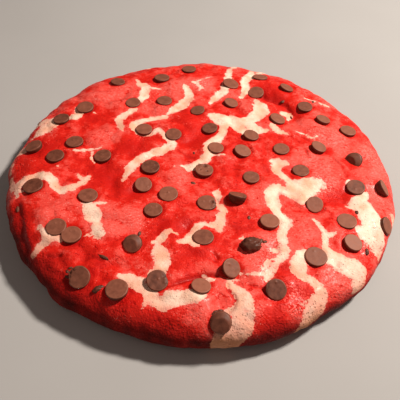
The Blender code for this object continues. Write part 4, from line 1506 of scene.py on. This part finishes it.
    def on_rim(self, direction: float, way: float) -> Vector:
        """Return the place in a direction, so many millimetres down the section.

        Args:
            direction: The direction in degrees.
            way: The way from the top's middle, in millimetres.

        Returns:
            The place.
        """
        ways = np.concatenate([[0.0], self.rows[:, 2]])
        radius = np.interp(way * MM, ways, np.concatenate([[0.0], self.rows[:, 0]]))
        height = np.interp(way * MM, ways, np.concatenate([[self.form.top_height], self.rows[:, 1]]))
        angle = math.radians(direction)
        return Vector(self.place(np.array([radius]), np.array([height]), np.array([angle]))[0])

    def roughen(self) -> None:
        """Give the skin its creases, pits and crinkles, which are too fine for the solid."""
        points, normals = self.points, self.normals
        form = self.form
        side = np.clip((self.way - form.side_start) / form.side_length, 0.0, 1.0)
        under = np.clip((form.groove_height - points[:, 2]) / form.groove_height, 0.0, 1.0)
        patch = np.clip(0.5 + smooth_noise(points, form.patch_length), 0.0, 1.0)
        mound = np.sqrt(smooth_noise(points, form.mound_length) ** 2 + form.mound_softness)
        self.mound = mound - form.mound_level
        shift = form.mound_height * self.mound * (1.0 - form.mound_side_loss * side)
        shift += form.lump_height * smooth_noise(points, form.lump_length, 1)
        crinkle = form.crinkle_height + form.crinkle_in_patches * patch + form.crinkle_on_side * side
        shift += crinkle * smooth_noise(points + 1.0, form.crinkle_length, 1)
        shift *= 1.0 - form.under_calm * under
        top = normals[:, 2] > form.crease_slope
        flat = points[:, :2]
        for line, width, depth in self._lines(CREASES):
            groove = top * bell(nearest_on_lines(flat, line[:-1], line[1:])[0].min(axis=1), width)
            shift -= depth * groove
            # The crease mask carries painted shade into the finish
            self.crease_shade = np.maximum(self.crease_shade, groove * min(1.0, depth / form.deep_crease))
        for pit in PITS:
            gap = np.linalg.norm(flat - self._on_top(pit.across, pit.down), axis=1)
            shift += top * pit.height * MM * bell(gap, pit.radius * MM)
        self.points = points + normals * shift[:, None]
        self.points[:, 2] = np.maximum(self.points[:, 2], 0.0)
        self.tree = self._tree()


class MarkKind(Enum):
    """What sets a chip's base apart."""

    PIP = "a small raised point"
    HOLE = "a small round hole"
    SCAR = "a rough ledge where the edge broke"
    WEAR = "a crescent worn down along one side"


class Mark(NamedTuple):
    """A mark on a base: kind, the chip's number, direction in degrees, distance and size as shares."""

    kind: MarkKind
    chip: int
    direction: float
    distance: float
    size: float


MARKS = [Mark(kind, *row) for kind, rows in {
    MarkKind.HOLE: (
        (31, 85, 0.27, 0.10), (31, 200, 0.22, 0.05), (31, 320, 0.20, 0.05), (38, 10, 0.24, 0.09),
    ),
    MarkKind.PIP: (
        (7, 150, 0.12, 0.016), (16, 200, 0.10, 0.012), (20, 130, 0.14, 0.030), (20, 20, 0.16, 0.018),
        (24, 140, 0.16, 0.026), (24, 100, 0.04, 0.020), (26, 30, 0.16, 0.020), (27, 60, 0.10, 0.016),
        (30, 30, 0.20, 0.030), (31, 40, 0.26, 0.040), (31, 150, 0.24, 0.034), (33, 330, 0.38, 0.040),
        (33, 250, 0.36, 0.030), (34, 230, 0.22, 0.020), (34, 340, 0.10, 0.014), (35, 330, 0.30, 0.026),
        (36, 60, 0.05, 0.022), (37, 100, 0.06, 0.034), (37, 200, 0.20, 0.016), (38, 165, 0.20, 0.030),
        (42, 60, 0.26, 0.036), (42, 130, 0.24, 0.032), (42, 190, 0.28, 0.028), (47, 110, 0.20, 0.024),
        (47, 50, 0.26, 0.024), (54, 105, 0.28, 0.026), (53, 140, 0.22, 0.040), (56, 20, 0.36, 0.020),
        (57, 60, 0.06, 0.046), (57, 345, 0.34, 0.030), (57, 15, 0.30, 0.028), (59, 95, 0.33, 0.050),
        (40, 250, 0.16, 0.014), (43, 200, 0.24, 0.018),
    ),
    MarkKind.SCAR: (
        (31, 100, 0.30, 0.05), (38, 350, 0.20, 0.05), (55, 160, 0.26, 0.08), (57, 25, 0.28, 0.05),
        (33, 345, 0.38, 0.03), (59, 180, 0.34, 0.04), (39, 330, 0.26, 0.07),
    ),
    MarkKind.WEAR: (
        (29, 20, 0.26, 0.95), (60, 85, 0.18, 1.00), (49, 45, 0.20, 0.95),
    ),
}.items() for row in rows]


class ChipPose(NamedTuple):
    """Where a chip sits: the middle of its flat base, the way that faces, and its diameter."""

    node: str
    middle: np.ndarray
    normal: np.ndarray
    diameter: float


class MarkForm(NamedTuple):
    """How marks are cut into a base of diameter 1, and how much bloom each takes or gives."""

    reach: float = 0.30
    pip_radius: float = 0.045
    pip_bloom: float = 0.5
    hole_depth: float = 0.9
    scar_wander: float = 0.16
    scar_scale: float = 5.0
    scar_slope: float = 8.0
    scar_level: float = 0.5
    scar_rough: float = 1.3
    scar_grit: float = 11.0
    scar_dull: float = 0.8
    scar_bloom: float = 0.9
    worn_radius: float = 0.42
    worn_softness: float = 0.03
    worn_dull: float = 0.5
    worn_slope: float = 12.0
    break_wander: float = 0.05
    break_scale: float = 7.0
    break_taper: float = 0.5


@dataclass(frozen=True)
class Chips:
    """The chocolate chips, drops with a flat base that faces out of the dough."""

    depth_share: float = 0.70
    sides: int = 48
    section: tuple[tuple[float, float], ...] = (
        (0.445, -0.002), (0.472, 0.003), (0.491, 0.020), (0.500, 0.055), (0.488, 0.120), (0.465, 0.210),
        (0.430, 0.300), (0.365, 0.395), (0.275, 0.495), (0.170, 0.590), (0.070, 0.665),
    )
    base_rings: tuple[float, ...] = (0.03, 0.065, 0.10, 0.14, 0.18, 0.22, 0.26, 0.30, 0.34, 0.38, 0.415)
    marks: MarkForm = MarkForm()
    wobble: float = 0.030
    broken_share: float = 0.07
    broken: tuple[tuple[int, float], ...] = ((31, 100.0), (38, 10.0), (55, 190.0), (57, 25.0))
    pale: tuple[int, ...] = (4, 6, 14, 15, 18, 25, 26, 27, 28, 35, 43, 44, 45, 51, 58)
    dark: tuple[int, ...] = (2, 12, 19, 21, 23, 29, 30, 33, 39, 40, 42, 49, 55, 56, 57, 59, 60)
    tone_step: float = 0.34
    lying_lean: float = math.radians(50.0)
    clearance: float = 0.9 * MM
    edge_clearance: float = 0.3 * MM
    moat_depth: float = 0.30 * MM
    moat_width: float = 0.8 * MM
    collar_height: float = 0.12 * MM
    collar_width: float = 1.8 * MM
    contact_shade_width: float = 1.3 * MM
    reach: float = 1.6
    level_share: float = 0.45
    cover_margin: float = 0.2 * MM
    edge_margin: float = 1.4 * MM
    moat_gap: float = 0.3 * MM
    collar_gap: float = 2.4 * MM
    same_way: float = 0.9995
    base_share: float = 0.6
    aside_cost: float = 0.8
    tone_swing: float = 0.3
    wobble_scales: Span = (2.2, 7.0)
    fine_wobble: float = 0.4
    face_scale: float = 5.0
    face_wave: float = 0.006
    face_radius: float = 0.48
    face_depth: float = 0.02
    edge_radius: float = 0.474
    edge_width: float = 0.02
    edge_depth: float = 0.06

    def poses(self) -> list[ChipPose]:
        """Read where each chip sits from its solid.

        Returns:
            A pose for each chip.
        """
        found = []
        for node in sorted(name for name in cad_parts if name.startswith("chip_")):
            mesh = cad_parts[node].data
            points = np.array([v.co for v in mesh.vertices])
            found += self._read(node, points, mesh)
        return found

    def _read(self, node: str, points: np.ndarray, mesh: bpy.types.Mesh) -> list[ChipPose]:
        """Find the flat base or bases of a solid.

        Args:
            node: The solid's name.
            points: Its points.
            mesh: Its mesh.

        Returns:
            A pose for each chip in it; most solids hold one.
        """
        groups: list[list[Any]] = []
        for face in mesh.polygons:
            normal = np.array(face.normal)
            home = next((g for g in groups if g[0] @ normal > self.same_way), None)
            if home is None:
                home = [normal, 0.0, np.zeros(3)]
                groups.append(home)
            home[1] += face.area
            home[2] += face.area * np.array(face.center)
        groups.sort(key=lambda g: -g[1])
        bases = [g for g in groups if g[1] > self.base_share * groups[0][1]]
        return [self._pose(node, points, g[0], g[2] / g[1]) for g in bases]

    def _pose(self, node: str, points: np.ndarray, normal: np.ndarray, near: np.ndarray) -> ChipPose:
        """Return the chip with a base of a given normal, near a given place.

        Args:
            node: The solid's name.
            points: Its points.
            normal: The way that the base faces.
            near: A place on the base.

        Returns:
            The chip's pose.
        """
        depth = (near - points) @ normal
        aside = np.linalg.norm(points - near + depth[:, None] * normal, axis=1)
        tip = int(np.argmax(depth - self.aside_cost * aside))
        return ChipPose(node, points[tip] + depth[tip] * normal, normal, depth[tip] / self.depth_share)

    def seat(self, skin: DoughSkin, poses: Sequence[ChipPose]) -> None:
        """Press the dough down under each chip, let it swell a little around it and mark painted shade
        round its edge.

        Args:
            skin: The dough's skin, which is changed.
            poses: Where the chips sit.
        """
        points = skin.points
        for pose in poses:
            normal = skin.tree.find_nearest(Vector(pose.middle))[1]
            lying = Vector(pose.normal).angle(normal) > self.lying_lean
            half = 0.5 * pose.diameter
            offset = points - pose.middle
            near = np.flatnonzero(np.linalg.norm(offset, axis=1) < self.reach * pose.diameter)
            height = offset[near] @ pose.normal
            flat = offset[near] - height[:, None] * pose.normal
            aside = np.linalg.norm(flat, axis=1)
            level = np.abs(height) < self.level_share * pose.diameter
            covers = (aside < half + self.cover_margin) & (height > -self.clearance)
            beside = (aside < half + self.edge_margin) & (height > -self.edge_clearance) & level
            limit = np.where(covers, self.clearance, self.edge_clearance)
            sink = np.where((covers | beside) & (not lying), height + limit, 0.0)
            points[near] -= sink[:, None] * pose.normal
            outward = skin.normals[near]
            moat = self.moat_depth * bell(aside - half - self.moat_gap, self.moat_width)
            collar = self.collar_height * bell(aside - half - self.collar_gap, self.collar_width)
            shift = np.where(level & ~covers & ~beside, collar - moat, 0.0)
            points[near] += shift[:, None] * outward
            # Painted shade in the dough round each chip's edge
            touching = level * bell(np.maximum(0.0, aside - half), self.contact_shade_width)
            skin.contact_shade[near] = np.maximum(skin.contact_shade[near], touching)

    def build(self, poses: Sequence[ChipPose], finish: ChocolateFinish) -> bpy.types.Object:
        """Make all chips as one piece.

        Args:
            poses: Where they sit.
            finish: Their chocolate.

        Returns:
            The piece.
        """
        shape = Shape()
        rng = random.Random(SEED)
        for pose in poses:
            self._add_chip(shape, pose, rng)
        piece = make_piece("chocolate_chips", shape.points, shape.faces, shape.values, finish.make())
        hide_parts(*sorted({pose.node for pose in poses}))
        return piece

    def _add_chip(self, shape: Shape, pose: ChipPose, rng: random.Random) -> None:
        """Add one chip to the shape.

        Args:
            shape: The piece under construction.
            pose: Where the chip sits.
            rng: The source of chance.
        """
        turn = Vector((0.0, 0.0, 1.0)).rotation_difference(Vector(pose.normal)).to_matrix()
        base = Vector(pose.middle)
        offset = noise_offset(rng)
        tone = rng.uniform(-self.tone_swing, self.tone_swing)
        number = int(pose.node.split("_")[1])
        tone += self.tone_step * ((number in self.pale) - (number in self.dark))
        marks = [mark for mark in MARKS if mark.chip == number]
        broken = dict(self.broken).get(number)
        points = [Vector((0.0, 0.0, 0.0))]
        face_values, edge_values = [1.0], [0.0]
        broad, fine = self.wobble_scales
        for share, depth in self._rings():
            for side in range(self.sides):
                angle = 2.0 * math.pi * side / self.sides
                around = Vector((math.cos(angle), math.sin(angle), 0.0))
                swing = 1.0 + self.wobble * noise.noise(broad * around + offset)
                swing += self.fine_wobble * self.wobble * noise.noise(fine * around + offset)
                point = around * share * swing
                point.z = self.face_wave * noise.noise(self.face_scale * point + offset) - depth
                points.append(point)
                on_face = share < self.face_radius and depth < self.face_depth
                worn = math.exp(-((share - self.edge_radius) / self.edge_width) ** 2)
                face_values.append(1.0 if on_face else 0.0)
                edge_values.append(worn if depth < self.edge_depth else 0.0)
        points.append(Vector((0.0, 0.0, -self.depth_share)))
        face_values.append(0.0)
        edge_values.append(0.0)
        if broken is not None:
            self._break_edge(points, math.radians(broken), offset)
        for mark in marks:
            self._mark(points, face_values, edge_values, mark, offset)
        placed = [base + turn @ (point * pose.diameter) for point in points]
        shape.add(placed, self._faces(), face=face_values, edge=edge_values, tone=[tone] * len(points))

    def _rings(self) -> list[tuple[float, float]]:
        """Return the rings of the flat base and of the section below."""
        return [*((share, 0.0) for share in self.base_rings), *self.section]

    def _mark(
        self,
        points: list[Vector],
        faces: list[float],
        edges: list[float],
        mark: Mark,
        offset: Vector,
    ) -> None:
        """Shape one mark on a base.

        Args:
            points: The chip's points, of diameter 1, which are changed.
            faces: How much each point shows the flat face's bloom, changed too.
            edges: How much each point shows an edge's bloom, changed too.
            mark: The mark.
            offset: Where the roughness is read.
        """
        form = self.marks
        turn = math.radians(mark.direction)
        away = Vector((math.cos(turn), math.sin(turn), 0.0))
        for number, point in enumerate(points):
            if point.z < -form.reach:
                continue
            gap = (point.xy - mark.distance * away.xy).length
            beyond = point.dot(away) - mark.distance
            if mark.kind is MarkKind.PIP:
                bump = math.exp(-(gap / form.pip_radius) ** 2)
                point.z += mark.size * bump
                edges[number] += form.pip_bloom * bump
            elif mark.kind is MarkKind.HOLE:
                dent = math.exp(-(gap / mark.size) ** 4)
                point.z -= form.hole_depth * mark.size * dent
                faces[number] -= dent
            elif mark.kind is MarkKind.SCAR:
                beyond += form.scar_wander * noise.noise(form.scar_scale * point + offset)
                share = max(0.0, min(1.0, form.scar_slope * beyond))
                grit = noise.noise(form.scar_grit * point + offset)
                rough = form.scar_level + form.scar_rough * grit
                point.z -= mark.size * share * rough
                faces[number] -= form.scar_dull * share
                edges[number] += form.scar_bloom * share * max(0.0, form.scar_level - rough)
            elif mark.kind is MarkKind.WEAR:
                reach = (point.xy + mark.distance * away.xy).length
                outside = max(0.0, reach - form.worn_radius)
                point.z -= mark.size * outside ** 2 / (outside + form.worn_softness)
                faces[number] -= form.worn_dull * min(1.0, form.worn_slope * outside)

    def _break_edge(self, points: list[Vector], direction: float, offset: Vector) -> None:
        """Pull back what lies beyond a rough break across the base.

        Args:
            points: The chip's points, of diameter 1, which are changed.
            direction: The side that is missing, in radians.
            offset: Where the roughness is read.
        """
        form = self.marks
        away = Vector((math.cos(direction), math.sin(direction), 0.0))
        for point in points:
            rough = form.break_wander * noise.noise(form.break_scale * point + offset)
            beyond = point.dot(away) - (0.5 - self.broken_share) - rough
            if beyond > 0.0 and point.z > -form.reach:
                point -= away * beyond * (1.0 - form.break_taper * max(0.0, -point.z / form.reach))

    def _faces(self) -> list[tuple[int, ...]]:
        """Return the faces of one chip.

        Returns:
            The faces, from the middle of the base to the tip.
        """
        count = len(self._rings())
        sides = self.sides
        faces: list[tuple[int, ...]] = []
        for side in range(sides):
            beside = (side + 1) % sides
            faces.append((0, 1 + side, 1 + beside))
            for ring in range(count - 1):
                high = 1 + ring * sides
                low = high + sides
                faces.append((high + side, low + side, low + beside, high + beside))
            last = 1 + (count - 1) * sides
            faces.append((last + side, last + sides, last + beside))
        return faces


@dataclass(frozen=True)
class Crumbs:
    """Broken bits of chocolate on the dough and in its rim."""

    subdivisions: int = 4
    big_length: float = 8.0 * MM
    tallest: float = 0.66
    rim_slim: float = 0.6
    roughness: Span = (0.74, 1.06)
    sunk: float = 0.2
    grit: float = 5.0 * MM
    dark_lump: float = 0.2
    tone_swing: float = 0.45
    bloom: tuple[float, float, float] = (0.15, 2.2, 0.9)
    chunk_scale: float = 1.7
    chunk_slope: float = 1.6
    swell_scale: float = 2.2
    grit_scale: float = 6.5
    lump_level: float = 0.35
    chunk_share: float = 0.45
    swell_share: float = 0.5
    grit_share: float = 0.22

    def places(self, skin: DoughSkin, rng: random.Random) -> list[tuple[Vector, float, float, float]]:
        """Return where each crumb lies, its length, its lie in degrees and its width share.

        Args:
            skin: The dough's skin.
            rng: The source of chance.

        Returns:
            A row for each crumb.
        """
        found = []
        for crumb in CRUMBS:
            length = crumb.length * MM
            place = skin.touch(crumb.across, crumb.down)
            lie = rng.uniform(0.0, 180.0) if crumb.lie is None else crumb.lie
            if length < self.big_length:
                place = place - Vector((0.0, 0.0, self.sunk * crumb.slim * length))
            found.append((place, length, lie, crumb.slim))
        for crumb in RIM_CRUMBS:
            turn = math.radians(crumb.direction)
            inward = -Vector((math.cos(turn), math.sin(turn), 0.0))
            outside = Vector((0.0, 0.0, crumb.height * MM)) - 2.0 * skin.form.rim_radius * inward
            touch = skin.tree.ray_cast(outside, inward)[0]
            length = crumb.length * MM
            place = touch + inward * self.sunk * self.rim_slim * length
            found.append((place, length, crumb.direction + 90.0, self.rim_slim))
        return found

    def build(self, skin: DoughSkin, finish: ChocolateFinish) -> bpy.types.Object:
        """Make all crumbs as one piece.

        Args:
            skin: The dough that they lie on.
            finish: Their chocolate.

        Returns:
            The piece.
        """
        rng = random.Random(SEED)
        ball_points, ball_faces = self._ball()
        dull, brighter, level = self.bloom
        shape = Shape()
        for place, length, direction, slim in self.places(skin, rng):
            offset = noise_offset(rng)
            turn = Matrix.Rotation(math.radians(direction), 3, "Z")
            points, faces = [], []
            for way in ball_points:
                lump = self._lump(way, offset, max(1.0, length / self.grit))
                point = 0.5 * length * lump * way
                point.y *= slim
                point.z *= min(slim, self.tallest)
                points.append(place + turn @ point)
                faces.append(dull + brighter * (lump - level))
            count = len(points)
            tone = rng.uniform(-self.tone_swing, self.tone_swing)
            if length > self.big_length:
                tone -= self.dark_lump
            shape.add(points, ball_faces, face=faces, edge=[0.0] * count, tone=[tone] * count)
        piece = make_piece("chocolate_crumbs", shape.points, shape.faces, shape.values, finish.make())
        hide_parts("dough")
        return piece

    def _lump(self, way: Vector, offset: Vector, fine: float) -> float:
        """Return the reach of a broken lump in a direction, about 1.

        Args:
            way: The direction, of length 1.
            offset: Where the noise is read.
            fine: How much finer than on a small crumb its grit is.

        Returns:
            The reach.
        """
        low, high = self.roughness
        chunk = noise.voronoi(way * self.chunk_scale * fine + offset)[0]
        facet = min(1.0, self.chunk_slope * (chunk[1] - chunk[0]))
        share = self.lump_level + self.chunk_share * facet
        share += self.swell_share * noise.noise(way * self.swell_scale + offset)
        share += self.grit_share * noise.noise(way * self.grit_scale * fine + offset)
        return low + (high - low) * max(0.0, min(1.0, share))

    def _ball(self) -> tuple[list[Vector], list[tuple[int, ...]]]:
        """Return the points and faces of a ball of radius 1.

        Returns:
            Its points and its faces.
        """
        made = bpy.data.meshes.new("ball")
        bm = bmesh.new()
        bmesh.ops.create_icosphere(bm, subdivisions=self.subdivisions, radius=1.0)
        bm.to_mesh(made)
        bm.free()
        points = [v.co.copy() for v in made.vertices]
        faces = [tuple(p.vertices) for p in made.polygons]
        bpy.data.meshes.remove(made)
        return points, faces


@dataclass(frozen=True)
class Marbling:
    """The cream swirls in the red dough, stored on the skin as numbers for its finish."""

    deepest: float = 6.0 * MM
    steps: int = 4
    under_length: float = 40.0 * MM
    under_band: float = 34.0 * MM
    under_share: float = 0.62
    under_swing: float = 0.8
    under_slant: float = 0.6
    under_warp: float = 34.0 * MM
    under_bend: float = 2.4
    under_height: float = 0.6 * MM
    under_climb: float = 3.0
    under_radius: float = 103.0 * MM
    under_spread: float = 0.8
    narrowest: float = 0.5
    tint_limit: float = 1.2

    def strokes(self, skin: DoughSkin) -> list[tuple[np.ndarray, np.ndarray]]:
        """Return the middle line of every swirl on the dough, with its half widths.

        Args:
            skin: The dough's skin.

        Returns:
            A line and its half widths for each swirl.
        """
        made = []
        for line in SWIRLS.values():
            rows = self._round(np.array(line, float))
            touches = [(skin.touch(across, down), width) for across, down, width in rows.tolist()]
            kept = [(*touch, width) for touch, width in touches if touch is not None]
            if len(kept) > 1:
                made.append(np.array(kept))
        for line in RIM_SWIRLS.values():
            rows = self._round(np.array(line, float))
            made.append(np.array([(*skin.on_rim(turn, way), width) for turn, way, width in rows]))
        return [(rows[:, :3], 0.5 * MM * rows[:, 3]) for rows in made]

    def _round(self, line: np.ndarray) -> np.ndarray:
        """Return a smooth curve through the rows of a line.

        Args:
            line: Rows of two measures of place and a width.

        Returns:
            More such rows, close together.
        """
        ends = np.concatenate([[2 * line[0] - line[1]], line, [2 * line[-1] - line[-2]]])
        rows = []
        for a, b, c, d in zip(ends, ends[1:], ends[2:], ends[3:]):
            for step in range(self.steps):
                t = step / self.steps
                linear = (c - a) * t
                square = (2 * a - 5 * b + 4 * c - d) * t ** 2
                cube = (3 * b - a - 3 * c + d) * t ** 3
                rows.append(0.5 * (2 * b + linear + square + cube))
        rows.append(line[-1])
        made = np.array(rows)
        made[:, 2] = np.maximum(made[:, 2], self.narrowest)
        return made

    def depth(self, skin: DoughSkin) -> np.ndarray:
        """Return how far inside the cream each point of the skin lies, in millimetres.

        Args:
            skin: The dough's skin.

        Returns:
            A depth for each point, below zero in the red.
        """
        points = skin.points
        nearest = np.full(len(points), self.deepest)
        for line, half in self.strokes(skin):
            margin = self.deepest + half.max()
            low, high = line.min(axis=0) - margin, line.max(axis=0) + margin
            near = np.flatnonzero(((points > low) & (points < high)).all(axis=1))
            gaps, shares = nearest_on_lines(points[near], line[:-1], line[1:])
            gaps = gaps - (half[:-1] + (half[1:] - half[:-1]) * shares)
            nearest[near] = np.minimum(nearest[near], gaps.min(axis=1))
        nearest = np.minimum(nearest, self._under(skin))
        return -nearest / MM

    def _under(self, skin: DoughSkin) -> np.ndarray:
        """Return how far each point lies outside the broad swirls of the underside.

        Args:
            skin: The dough's skin.

        Returns:
            A distance for each point.
        """
        points = skin.points
        warp = smooth_noise(points, self.under_length, 2)
        bend = smooth_noise(points + 0.3, self.under_length, 2)
        across = points[:, 0] + self.under_slant * points[:, 1] + self.under_warp * warp
        wave = np.sin(2.0 * math.pi * across / self.under_band + self.under_bend * bend)
        share = self.under_share + self.under_swing * smooth_noise(points + 0.7, self.under_length, 1)
        gap = (share - wave) * self.under_band / (2.0 * math.pi)
        outside = self.under_climb * np.maximum(0.0, points[:, 2] - self.under_height)
        rim = np.maximum(0.0, np.linalg.norm(points[:, :2], axis=1) - self.under_radius)
        return np.minimum(gap + outside + self.under_spread * rim, self.deepest)

    def tint_and_light(self, skin: DoughSkin) -> np.ndarray:
        """Return how pale or deep the red is at each point of the skin, with painted highlight and
        painted shade zones.
        """
        return np.clip(self._zones(skin, TINTS_AND_LIGHT), -self.tint_limit, self.tint_limit)

    def mottle(self, skin: DoughSkin) -> np.ndarray:
        """Return how much cream and red are broken up at each point of the skin."""
        return np.clip(self._zones(skin, MOTTLES), 0.0, 1.0)

    def _zones(self, skin: DoughSkin, zones: Sequence[Zone]) -> np.ndarray:
        """Return the sum of soft zones at each point of the skin.

        Args:
            skin: The dough's skin.
            zones: The zones.

        Returns:
            A sum for each point.
        """
        total = np.zeros(len(skin.points))
        for zone in zones:
            touch = skin.touch(zone.across, zone.down)
            gap = np.linalg.norm(skin.points - np.array(touch), axis=1)
            total += zone.amount * bell(gap, zone.radius * MM)
        return total


@dataclass(frozen=True)
class Dough:
    """The dough as it is seen: its skin with marbling, and a foot darkened by browning and by painted
    shade, deepest on the side away from the key lamp.
    """

    # The foot darkens below a height, partly browning and partly painted shade; the height is raised on
    # the side away from the key lamp
    bake_and_shade_height: float = 15.0 * MM
    bake_and_shade_length: float = 7.0 * MM
    shade_side_lift: float = 6.5 * MM
    bake_and_shade_share: float = 0.96
    bake_and_shade_power: float = 1.2
    toast_and_shade_height: float = 27.0 * MM
    toast_and_shade_length: float = 9.0 * MM
    shaded_direction: Span = (-0.45, -0.89)
    shaded_reach: float = 105.0 * MM
    crumb_start: float = 101.0 * MM
    crumb_length: float = 16.0 * MM
    crumb_floor: float = 1.0 * MM

    def build(self, skin: DoughSkin, marbling: Marbling, finish: DoughFinish) -> bpy.types.Object:
        """Make the dough.

        Args:
            skin: Its shaped skin.
            marbling: Its swirls.
            finish: Its colours and grain.

        Returns:
            The piece.
        """
        points = skin.points
        # Painted shade on the cream, low on the side away from the key lamp
        toast_and_shade = np.clip((self.toast_and_shade_height - points[:, 2]) / self.toast_and_shade_length, 0.0, 1.0)
        shaded_side = np.clip(points[:, :2] @ np.array(self.shaded_direction) / self.shaded_reach, 0.0, 1.0)
        bake_and_shade_height = self.bake_and_shade_height + self.shade_side_lift * shaded_side
        low = np.clip((bake_and_shade_height - points[:, 2]) / self.bake_and_shade_length, 0.0, 1.0)
        crumb = np.clip((skin.way - self.crumb_start) / self.crumb_length, 0.0, 1.0)
        values = {
            "cream": marbling.depth(skin),
            "tint_and_light": marbling.tint_and_light(skin),
            "mottle": marbling.mottle(skin),
            # Painted shade round the chips
            "contact_shade": skin.contact_shade,
            # The relief's height, which the finish turns into painted light and shade
            "mound": skin.mound,
            # Painted shade in the creases
            "crease_shade": skin.crease_shade,
            "bake": self.bake_and_shade_share * low ** self.bake_and_shade_power,
            "toast_and_shade": toast_and_shade * shaded_side,
            "crumb": crumb * (points[:, 2] > self.crumb_floor),
        }
        piece = make_piece("marbled_dough", points, skin.faces, values, finish.make())
        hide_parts("dough")
        return piece


@dataclass(frozen=True)
class Lamp:
    """A soft square lamp aimed at the cookie."""

    name: str
    direction: float
    elevation: float
    distance: float
    size: float
    power: float
    colour: Colour

    def make(self, target: Vector) -> bpy.types.Object:
        """Add the lamp, aimed at a place.

        Args:
            target: The place.

        Returns:
            The lamp.
        """
        data = bpy.data.lights.new(self.name, "AREA")
        data.size = self.size
        data.energy = self.power
        data.color = self.colour
        lamp = bpy.data.objects.new(self.name, data)
        turn, rise = math.radians(self.direction), math.radians(self.elevation)
        away = Vector((math.cos(turn) * math.cos(rise), math.sin(turn) * math.cos(rise), math.sin(rise)))
        lamp.location = target + away * self.distance
        lamp.rotation_mode = "QUATERNION"
        lamp.rotation_quaternion = (-away).to_track_quat("-Z", "Y")
        bpy.context.scene.collection.objects.link(lamp)
        return lamp


@dataclass(frozen=True)
class Studio:
    """The floor, the lamps and the dim room around them."""

    floor_size: float = 6.0
    floor_drop: float = 0.15 * MM
    room_colour: Colour = (1.0, 0.82, 0.72)
    room_strength: float = 0.11
    lamps: tuple[Lamp, ...] = (
        Lamp("key", 19.0, 52.0, 1.05, 0.12, 15.6, (1.0, 0.90, 0.79)),
        Lamp("fill", -120.0, 55.0, 1.3, 1.1, 1.6, (1.0, 0.80, 0.68)),
    )

    def build(self, finish: FloorFinish) -> bpy.types.Object:
        """Make the studio.

        Args:
            finish: The floor's finish.

        Returns:
            The floor.
        """
        half = 0.5 * self.floor_size
        mesh = bpy.data.meshes.new("floor")
        low = -self.floor_drop
        corners = [(-half, -half, low), (half, -half, low), (half, half, low), (-half, half, low)]
        mesh.from_pydata(corners, [], [(0, 1, 2, 3)])
        mesh.materials.append(finish.make())
        floor = bpy.data.objects.new("floor", mesh)
        bpy.context.scene.collection.objects.link(floor)
        floor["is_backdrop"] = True
        for lamp in self.lamps:
            lamp.make(Vector((0.0, 0.0, 0.0)))
        scene = bpy.context.scene
        scene.world = bpy.data.worlds.new("room")
        scene.world.use_nodes = True
        background = scene.world.node_tree.nodes["Background"]
        background.inputs["Color"].default_value = (*self.room_colour, 1.0)
        background.inputs["Strength"].default_value = self.room_strength
        scene.view_settings.view_transform = "Standard"
        return floor


def write_sizes() -> None:
    """Write the box of the solids and the box of what is seen."""
    low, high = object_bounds()
    boxes = {"cad": [list(cad_box[0]), list(cad_box[1])], "visual": [list(low), list(high)]}
    corners = [[round(value / MM, 1) for value in corner] for box in boxes.values() for corner in box]
    LOG.info("boxes in millimetres: %s", corners)


def main() -> None:
    """Build the cookie and its studio."""
    logging.basicConfig(level=logging.INFO, format="%(message)s")
    sight = Sight()
    sight.make_camera()
    Studio().build(FloorFinish())
    skin = DoughSkin(DoughForm(), sight)
    skin.roughen()
    chips = Chips()
    poses = chips.poses()
    chips.seat(skin, poses)
    Dough().build(skin, Marbling(), DoughFinish())
    chips.build(poses, ChocolateFinish())
    Crumbs().build(skin, ChocolateFinish(name="chocolate_crumb", bloom_share=0.3, roughness=0.5))
    write_sizes()


if __name__ == "__main__":
    main()
